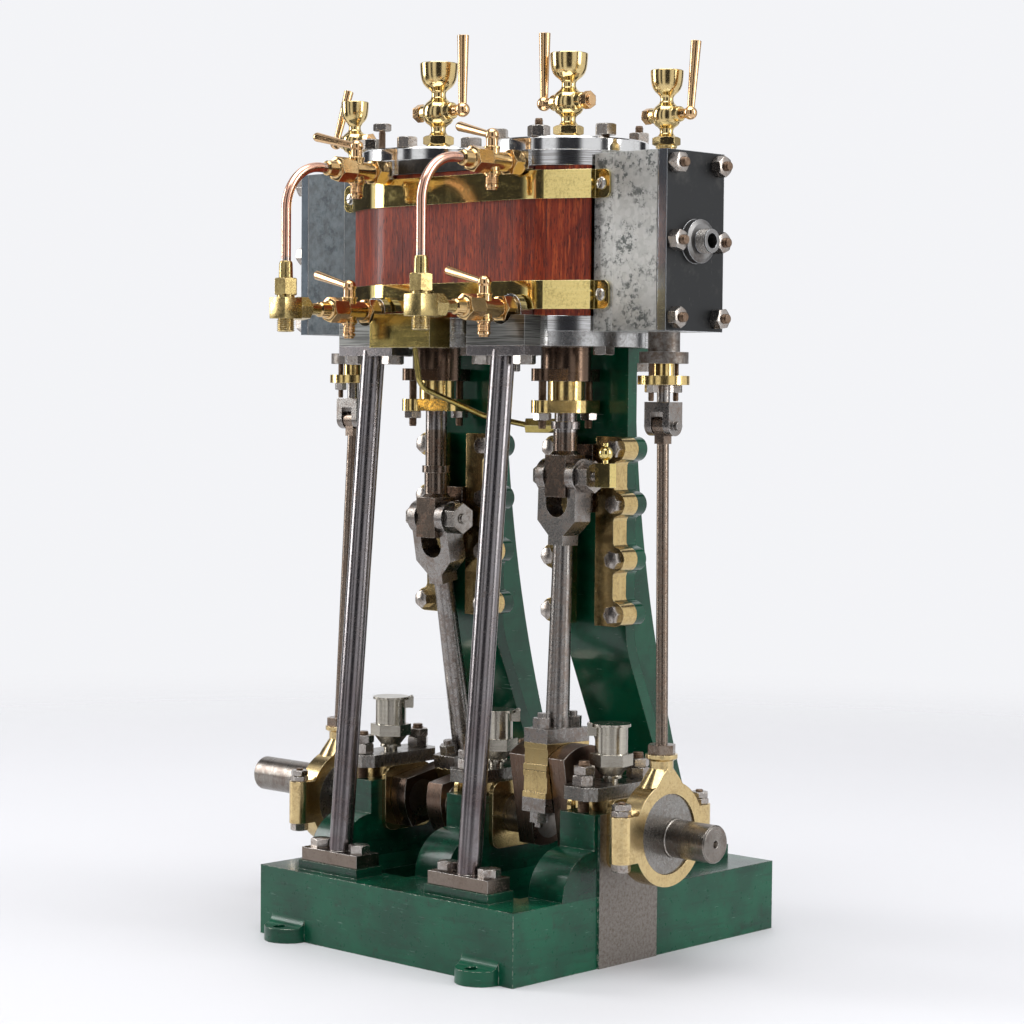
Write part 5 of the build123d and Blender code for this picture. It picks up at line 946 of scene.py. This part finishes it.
# %% The long spare bolt of the left cover
LONG_BOLT_ANGLE, LONG_BOLT_HEAD = radians(260.0), 7.6
LONG_BOLT_RADIUS, LONG_BOLT_FLATS, LONG_BOLT_HEIGHT, FINE_PITCH = 1.5, 6.7, 3.1, 0.5
x = -CYLINDER_X + COVER_BOLT_RADIUS * cos(LONG_BOLT_ANGLE)
y = COVER_BOLT_RADIUS * sin(LONG_BOLT_ANGLE)
studs.thread(stand((x, y, COVER_TOP - 0.5)), LONG_BOLT_RADIUS, 0.0, LONG_BOLT_HEAD + 0.8, FINE_PITCH)
head = stand((x, y, COVER_TOP + LONG_BOLT_HEAD), turn=8)
nuts.nut(head, LONG_BOLT_FLATS, LONG_BOLT_HEIGHT, under=True)
studs.done("cover_stud_threads", thread_steel, "engine", "steel")
nuts.done("cover_nuts", nut_steel, "engine", "steel", "cover_bolts")

# %% Valve chest nuts
CHEST_ROWS, CHEST_NUT_Y = (259.9, CHEST_MIDDLE, 319.8), 13.2
CHEST_FLATS, CHEST_NUT_HEIGHT, CHEST_STUD, CHEST_STUD_LENGTH = 7.4, 4.4, 2.0, 7.6
studs, nuts = Piece(), Piece()
for side in (-1, 1):
    axis = (side, 0, 0)
    for i, (z, y) in enumerate((z, y) for z in CHEST_ROWS for y in (-CHEST_NUT_Y, CHEST_NUT_Y)):
        place = stand((side * CHEST_FACE, y, z), axis, turn_of(i))
        nuts.nut(place, CHEST_FLATS, CHEST_NUT_HEIGHT, under=True)
        place = stand((side * (CHEST_FACE - 1), y, z), axis)
        studs.thread(place, CHEST_STUD, 0.0, CHEST_STUD_LENGTH, COVER_PITCH)
studs.done("chest_stud_threads", thread_steel, "engine", "steel")
nuts.done("chest_cover_nuts", nut_steel, "engine", "steel", "chest_nuts")

# %% Gland studs
# Each row: x, how far the studs are from the rod, the stud's top, the nut's top, and
# the stud's radius, length and pitch, then the nut's width over its flats
GLANDS = ((CYLINDER_X, 14.2, 234.9, 222.0, 1.7, 19.4, 0.55, 6.6),
          (VALVE_X, 7.6, 242.1, 233.7, 1.2, 14.9, 0.45, 4.6))
GLAND_NUT_HEIGHT = 3.1
studs, nuts = Piece(), Piece()
for side in (-1, 1):
    for i, hand in enumerate((-1, 1)):
        for x, reach, stud_top, nut_top, radius, length, pitch, flats in GLANDS:
            turn = turn_of(i + side) if x == CYLINDER_X else turn_of(i)
            studs.thread(stand((side * x, reach * hand, stud_top), DOWN), radius, 0.0, length, pitch)
            place = stand((side * x, reach * hand, nut_top), DOWN, turn)
            nuts.nut(place, flats, GLAND_NUT_HEIGHT, under=True)
studs.done("gland_stud_threads", thread_steel, "engine", "steel")
nuts.done("gland_nuts", nut_steel, "engine", "steel", "gland_studs")

# %% Eccentric strap bolts, each with two nuts above and a head below
STRAP_CENTRES = ((-1, -2.236, 49.02), (1, -4.68, 55.936))
STRAP_REACH, LUG_HALF, STRAP_FLATS, STRAP_NUT, STRAP_HEAD = 24.0, 9.2, 6.8, 2.4, 3.4
UPPER_NUT, STRAP_STUD, STRAP_STUD_RADIUS, STRAP_STUD_LENGTH = 11.7, 8.5, 1.7, 6.4
studs, nuts = Piece(), Piece()
for side, y, z in STRAP_CENTRES:
    for i, hand in enumerate((-1, 1)):
        x, lug = side * STRAP_X, y + hand * STRAP_REACH
        nuts.nut(stand((x, lug, z + LUG_HALF), turn=turn_of(i + 2)), STRAP_FLATS, STRAP_NUT, under=True)
        nuts.nut(stand((x, lug, z + UPPER_NUT), turn=turn_of(i)), STRAP_FLATS, STRAP_NUT, under=True)
        nuts.nut(stand((x, lug, z - LUG_HALF), DOWN, turn_of(i + 1)), STRAP_FLATS, STRAP_HEAD)
        place = stand((x, lug, z + STRAP_STUD))
        studs.thread(place, STRAP_STUD_RADIUS, 0.0, STRAP_STUD_LENGTH, FINE_PITCH)
studs.done("strap_bolt_threads", thread_steel, "engine", "steel")
nuts.done("strap_nuts", nut_steel, "engine", "steel", "strap_bolts")

# %% Bolts of the columns, guides and standards
FRAME_FLATS, FRAME_HEAD, GUIDE_FLATS, GUIDE_HEAD = 8.0, 3.6, 6.6, 3.0
COLUMN_STEP, STANDARD_STEP, GUIDE_STEP = 11.4, 10.5, 17.6
COLUMN_FOOT, COLUMN_HEAD = (-55.1, 38.6), (-37.4, 244.9)
STANDARD_FOOT, STANDARD_HEAD = (78.7, 34.8), (34.75, 242.8)
GUIDE_Y, LOWEST_GUIDE, GUIDE_PITCH, GUIDE_ROWS = 11.6, 139.25, 22.7, 4
columns, guides, standards = Piece(), Piece(), Piece()
for side in (-1, 1):
    x = side * CYLINDER_X
    for i, step in enumerate((-1, 1)):
        near, far = x + step * COLUMN_STEP, x + step * STANDARD_STEP
        columns.nut(stand((near, *COLUMN_FOOT), UP, turn_of(i + side)), FRAME_FLATS, FRAME_HEAD)
        columns.nut(stand((near, *COLUMN_HEAD), DOWN, turn_of(i)), FRAME_FLATS, FRAME_HEAD)
        standards.nut(stand((far, *STANDARD_FOOT), UP, turn_of(i)), FRAME_FLATS, FRAME_HEAD)
        standards.nut(stand((far, *STANDARD_HEAD), DOWN, turn_of(i)), FRAME_FLATS, FRAME_HEAD)
        for k in range(GUIDE_ROWS):
            place = (x + step * GUIDE_STEP, GUIDE_Y, LOWEST_GUIDE + GUIDE_PITCH * k)
            guides.nut(stand(place, FRONT, turn_of(k + i)), GUIDE_FLATS, GUIDE_HEAD)
columns.done("column_bolt_heads", nut_steel, "engine", "steel", "column_bolts")
guides.done("guide_bolt_heads", nut_steel, "engine", "steel", "guide_bolts")
standards.done("standard_bolt_heads", nut_steel, "engine", "steel", "standard_bolts")

# %% [markdown]
# ## Small fittings
# Slotted screws hold the brass bands. The drain cocks, pipe blocks and
# lubricators take the place of their plainer solids, at the same points: they
# are the same turned and sawn fittings with the beads, chamfers and threads
# that catch the light. Each cock's plug carries a spring and a washer below,
# which turn with its lever.

# %% Band screws
SCREW_X, SCREW_Y, BAND_ROWS = 71.9, 18.5, (313.0, 269.2)
SCREW_RADIUS, SCREW_HEIGHT, SLOT = 2.5, 1.2, 0.7
screws = Piece()
for side in (-1, 1):
    for i, z in enumerate(BAND_ROWS):
        for hand in (-1, 1):
            turn = 35.0 + 50.0 * i + 20.0 * side
            place = stand((side * SCREW_X, hand * SCREW_Y, z), (0, hand, 0), turn)
            for part in slotted(SCREW_RADIUS, SCREW_HEIGHT, SLOT):
                screws.add(place, part)
screws.done("band_screws", screw_steel, "engine", "steel")

# %% Drain cocks: hexagon, barrel, union nut and collar, with the plug's socket across
# Each cock: its x, how far its seat stands out, and its height
COCKS = {"upper_left": (-37.4, 0.0, 321.5), "upper_right": (40.2, 0.0, 321.5),
         "lower_left": (-37.4, -3.8, 263.5), "lower_right": (40.2, -3.8, 263.5)}
CASTING_Y, COCK_FACE, PLUG_Y, SHANK_RADIUS = -25.0, -33.2, -48.0, 2.6
SEAT = [(0.0, 4.9), (0.7, 4.9), (0.9, 4.3)]
BARREL = [(0.0, 3.3), (0.8, 3.3), (1.2, 3.9), (11.2, 3.9), (11.6, 3.5), (12.6, 3.3)]
COLLAR = [(0.0, 3.9), (0.9, 3.8), (1.3, 3.4), (5.6, 3.1), (6.3, 2.5)]
SOCKET = [(-5.6, 3.1), (-5.3, 3.5), (-4.4, 3.5), (-4.0, 3.1), (4.6, 3.0), (4.8, 3.3), (5.4, 3.3), (5.6, 3.1)]
# Each row: how far it is in front of the cock's face, and its turned steps
COCK_TURNED = ((0.0, SEAT), (6.0, BARREL), (26.0, COLLAR))
# Each row: how far it is in front, its turn, its width over the flats, and its length
COCK_NUTS = ((0.8, 30, 9.6, 5.6), (18.2, 12, 9.4, 8.4))
cocks = Piece()
for x, out, z in COCKS.values():
    face = COCK_FACE + out
    cocks.turned(stand((x, CASTING_Y, z), FRONT), [(0.0, SHANK_RADIUS), (CASTING_Y - face, SHANK_RADIUS)])
    cocks.turned(stand((x, PLUG_Y + out, z)), SOCKET)
    for ahead, steps in COCK_TURNED:
        cocks.turned(stand((x, face - ahead, z), FRONT), steps)
    for ahead, turn, flats, length in COCK_NUTS:
        cocks.nut(stand((x, face - ahead, z), FRONT, turn), flats, length, under=True)
cocks.done("cock_bodies", gunmetal, "engine", "brass", "drain_cocks")

# %% Cock springs and washers under the plugs
SPRING_TOP, SPRING_RADIUS, WIRE_RADIUS, SPRING_LENGTH, SPRING_TURNS = 6.5, 2.35, 0.32, 2.6, 4
WASHER = [(9.2, 2.0), (9.5, 2.7), (10.4, 2.7), (10.9, 2.2)]
for name, (x, out, z) in COCKS.items():
    y, spring = PLUG_Y + out, Piece()
    spring.add(stand((x, y, z - SPRING_TOP), DOWN),
               coiled(SPRING_RADIUS, WIRE_RADIUS, SPRING_LENGTH, SPRING_TURNS))
    spring.turned(stand((x, y, z), DOWN), WASHER)
    spring.done("cock_spring_" + name, lever_brass, "cock_" + name, "brass")

# %% Pipe blocks with their nuts, ferrules and screwed outlets
BLOCK_XS, BLOCK_Y, BLOCK_Z = (-37.4, 40.2), -87.0, 263.5
BLOCK_SIZE, BLOCK_CORNER = (9.4, 9.4, 8.6), 0.25
NECK, FERRULE = [(0.0, 3.7), (1.6, 3.5)], [(0.0, 2.9), (5.4, 2.75), (6.2, 2.7), (7.0, 2.3)]
BRANCH = [(0.0, 3.0), (2.0, 2.4), (7.9, 2.4)]
OUTLET, OUTLET_BORE = [(0.0, 3.1), *ridges(3.1, 3.6, 0.8, 6, 0.5), (5.4, 2.9)], 2.4
# Each row: how far behind and above the block's middle, the way it faces, its turned steps, its bore
BLOCK_TURNED = ((0.0, 4.2, UP, NECK, 0.0), (0.0, 12.0, UP, FERRULE, 0.0),
                (10.0, 0.0, BACK, BRANCH, 0.0), (0.0, -4.2, DOWN, OUTLET, OUTLET_BORE))
# Each row: how far behind and above, the way it faces, its turn, its width over the flats, its length
BLOCK_NUTS = ((0.0, 12.2, DOWN, 15, 8.7, 7.0), (4.6, 0.0, BACK, 20, 8.6, 6.6))
blocks = Piece()
for x in BLOCK_XS:
    blocks.add(stand((x, BLOCK_Y, BLOCK_Z)), sawn(BLOCK_SIZE, BLOCK_CORNER))
    for behind, above, axis, steps, bore in BLOCK_TURNED:
        blocks.turned(stand((x, BLOCK_Y + behind, BLOCK_Z + above), axis), steps, bore=bore)
    for behind, above, axis, turn, flats, length in BLOCK_NUTS:
        place = stand((x, BLOCK_Y + behind, BLOCK_Z + above), axis, turn)
        blocks.nut(place, flats, length, under=True)
blocks.done("pipe_fittings", block_brass, "engine", "brass", "pipe_blocks")

# %% Threads of the steam nipples
NIPPLE_START, NIPPLE_LOW, NIPPLE_HIGH, NIPPLE_PITCH, NIPPLE_BORE = 108.6, 4.5, 4.85, 0.7, 4.3
nipples = Piece()
for side in (-1, 1):
    place = stand((side * NIPPLE_START, 0, CHEST_MIDDLE), (side, 0, 0))
    nipples.turned(place, ridges(NIPPLE_LOW, NIPPLE_HIGH, NIPPLE_PITCH, 6), bore=NIPPLE_BORE)
nipples.done("nipple_threads", nipple_steel, "engine", "black_iron")

# %% Lubricators: hexagon foot, neck, ball with a cross boss, and a deep bowl
CHEST_TOP, BALL_MIDDLE, BOWL_START, LATHE_SIDES = 325.0, 17.0, 25.5, 40
NUT_FOOT, LUBRICATOR_FLATS, LUBRICATOR_NUT = 3.3, 10.9, 3.9
# Each row: the place, the size, and how wide the bowl is for that size
LUBRICATORS = ((-CYLINDER_X, COVER_TOP, 1.05, 1.0), (CYLINDER_X, COVER_TOP, 1.0, 1.0),
               (-VALVE_X, CHEST_TOP, 0.89, 0.88), (VALVE_X, CHEST_TOP, 0.89, 0.95))
FOOT_AND_BALL = [
    (0.0, 4.6), (0.9, 4.6), (1.3, 4.9), (2.2, 4.4), (2.6, 4.8), (3.4, 4.8), (7.2, 4.6), (7.8, 3.8),
    (8.6, 3.15), (9.8, 2.95), (10.8, 3.2), (11.6, 4.0), (12.2, 5.0), (13.2, 5.75), (14.6, 6.35), (16.2, 6.6),
    (17.6, 6.55), (19.2, 6.1), (20.4, 5.3), (21.3, 4.3), (22.0, 3.5), (23.0, 3.0), (24.0, 2.9),
]
BOWL = [
    (24.8, 3.0), (25.5, 3.5), (26.2, 4.4), (27.0, 5.4), (28.2, 6.4), (29.8, 7.1), (31.8, 7.5), (34.2, 7.7),
    (36.3, 7.8), (36.6, 7.6), (36.5, 7.25), (34.0, 7.0), (31.4, 6.7), (29.4, 6.0), (28.2, 4.9), (27.6, 3.4),
    (27.4, 1.6),
]
CROSS_BOSS = [(-8.6, 2.9), (-8.2, 3.3), (-7.4, 3.5), (7.4, 3.5), (8.2, 3.3), (8.6, 2.9)]
lubricators = Piece()
for x, base, size, girth in LUBRICATORS:
    grown = Matrix.Scale(size, 4)
    bowl = [(z, r * (girth if z > BOWL_START else 1.0)) for z, r in BOWL]
    lubricators.turned(stand((x, 0, base)) @ grown, FOOT_AND_BALL + bowl, LATHE_SIDES)
    place = stand((x, 0, base + NUT_FOOT * size), UP, 13) @ grown
    lubricators.nut(place, LUBRICATOR_FLATS, LUBRICATOR_NUT, under=True)
    lubricators.turned(stand((x, 0, base + BALL_MIDDLE * size), (1, 0, 0)) @ grown, CROSS_BOSS)
lubricators.done("oil_lubricators", lubricator_brass, "engine", "brass", "lubricators")
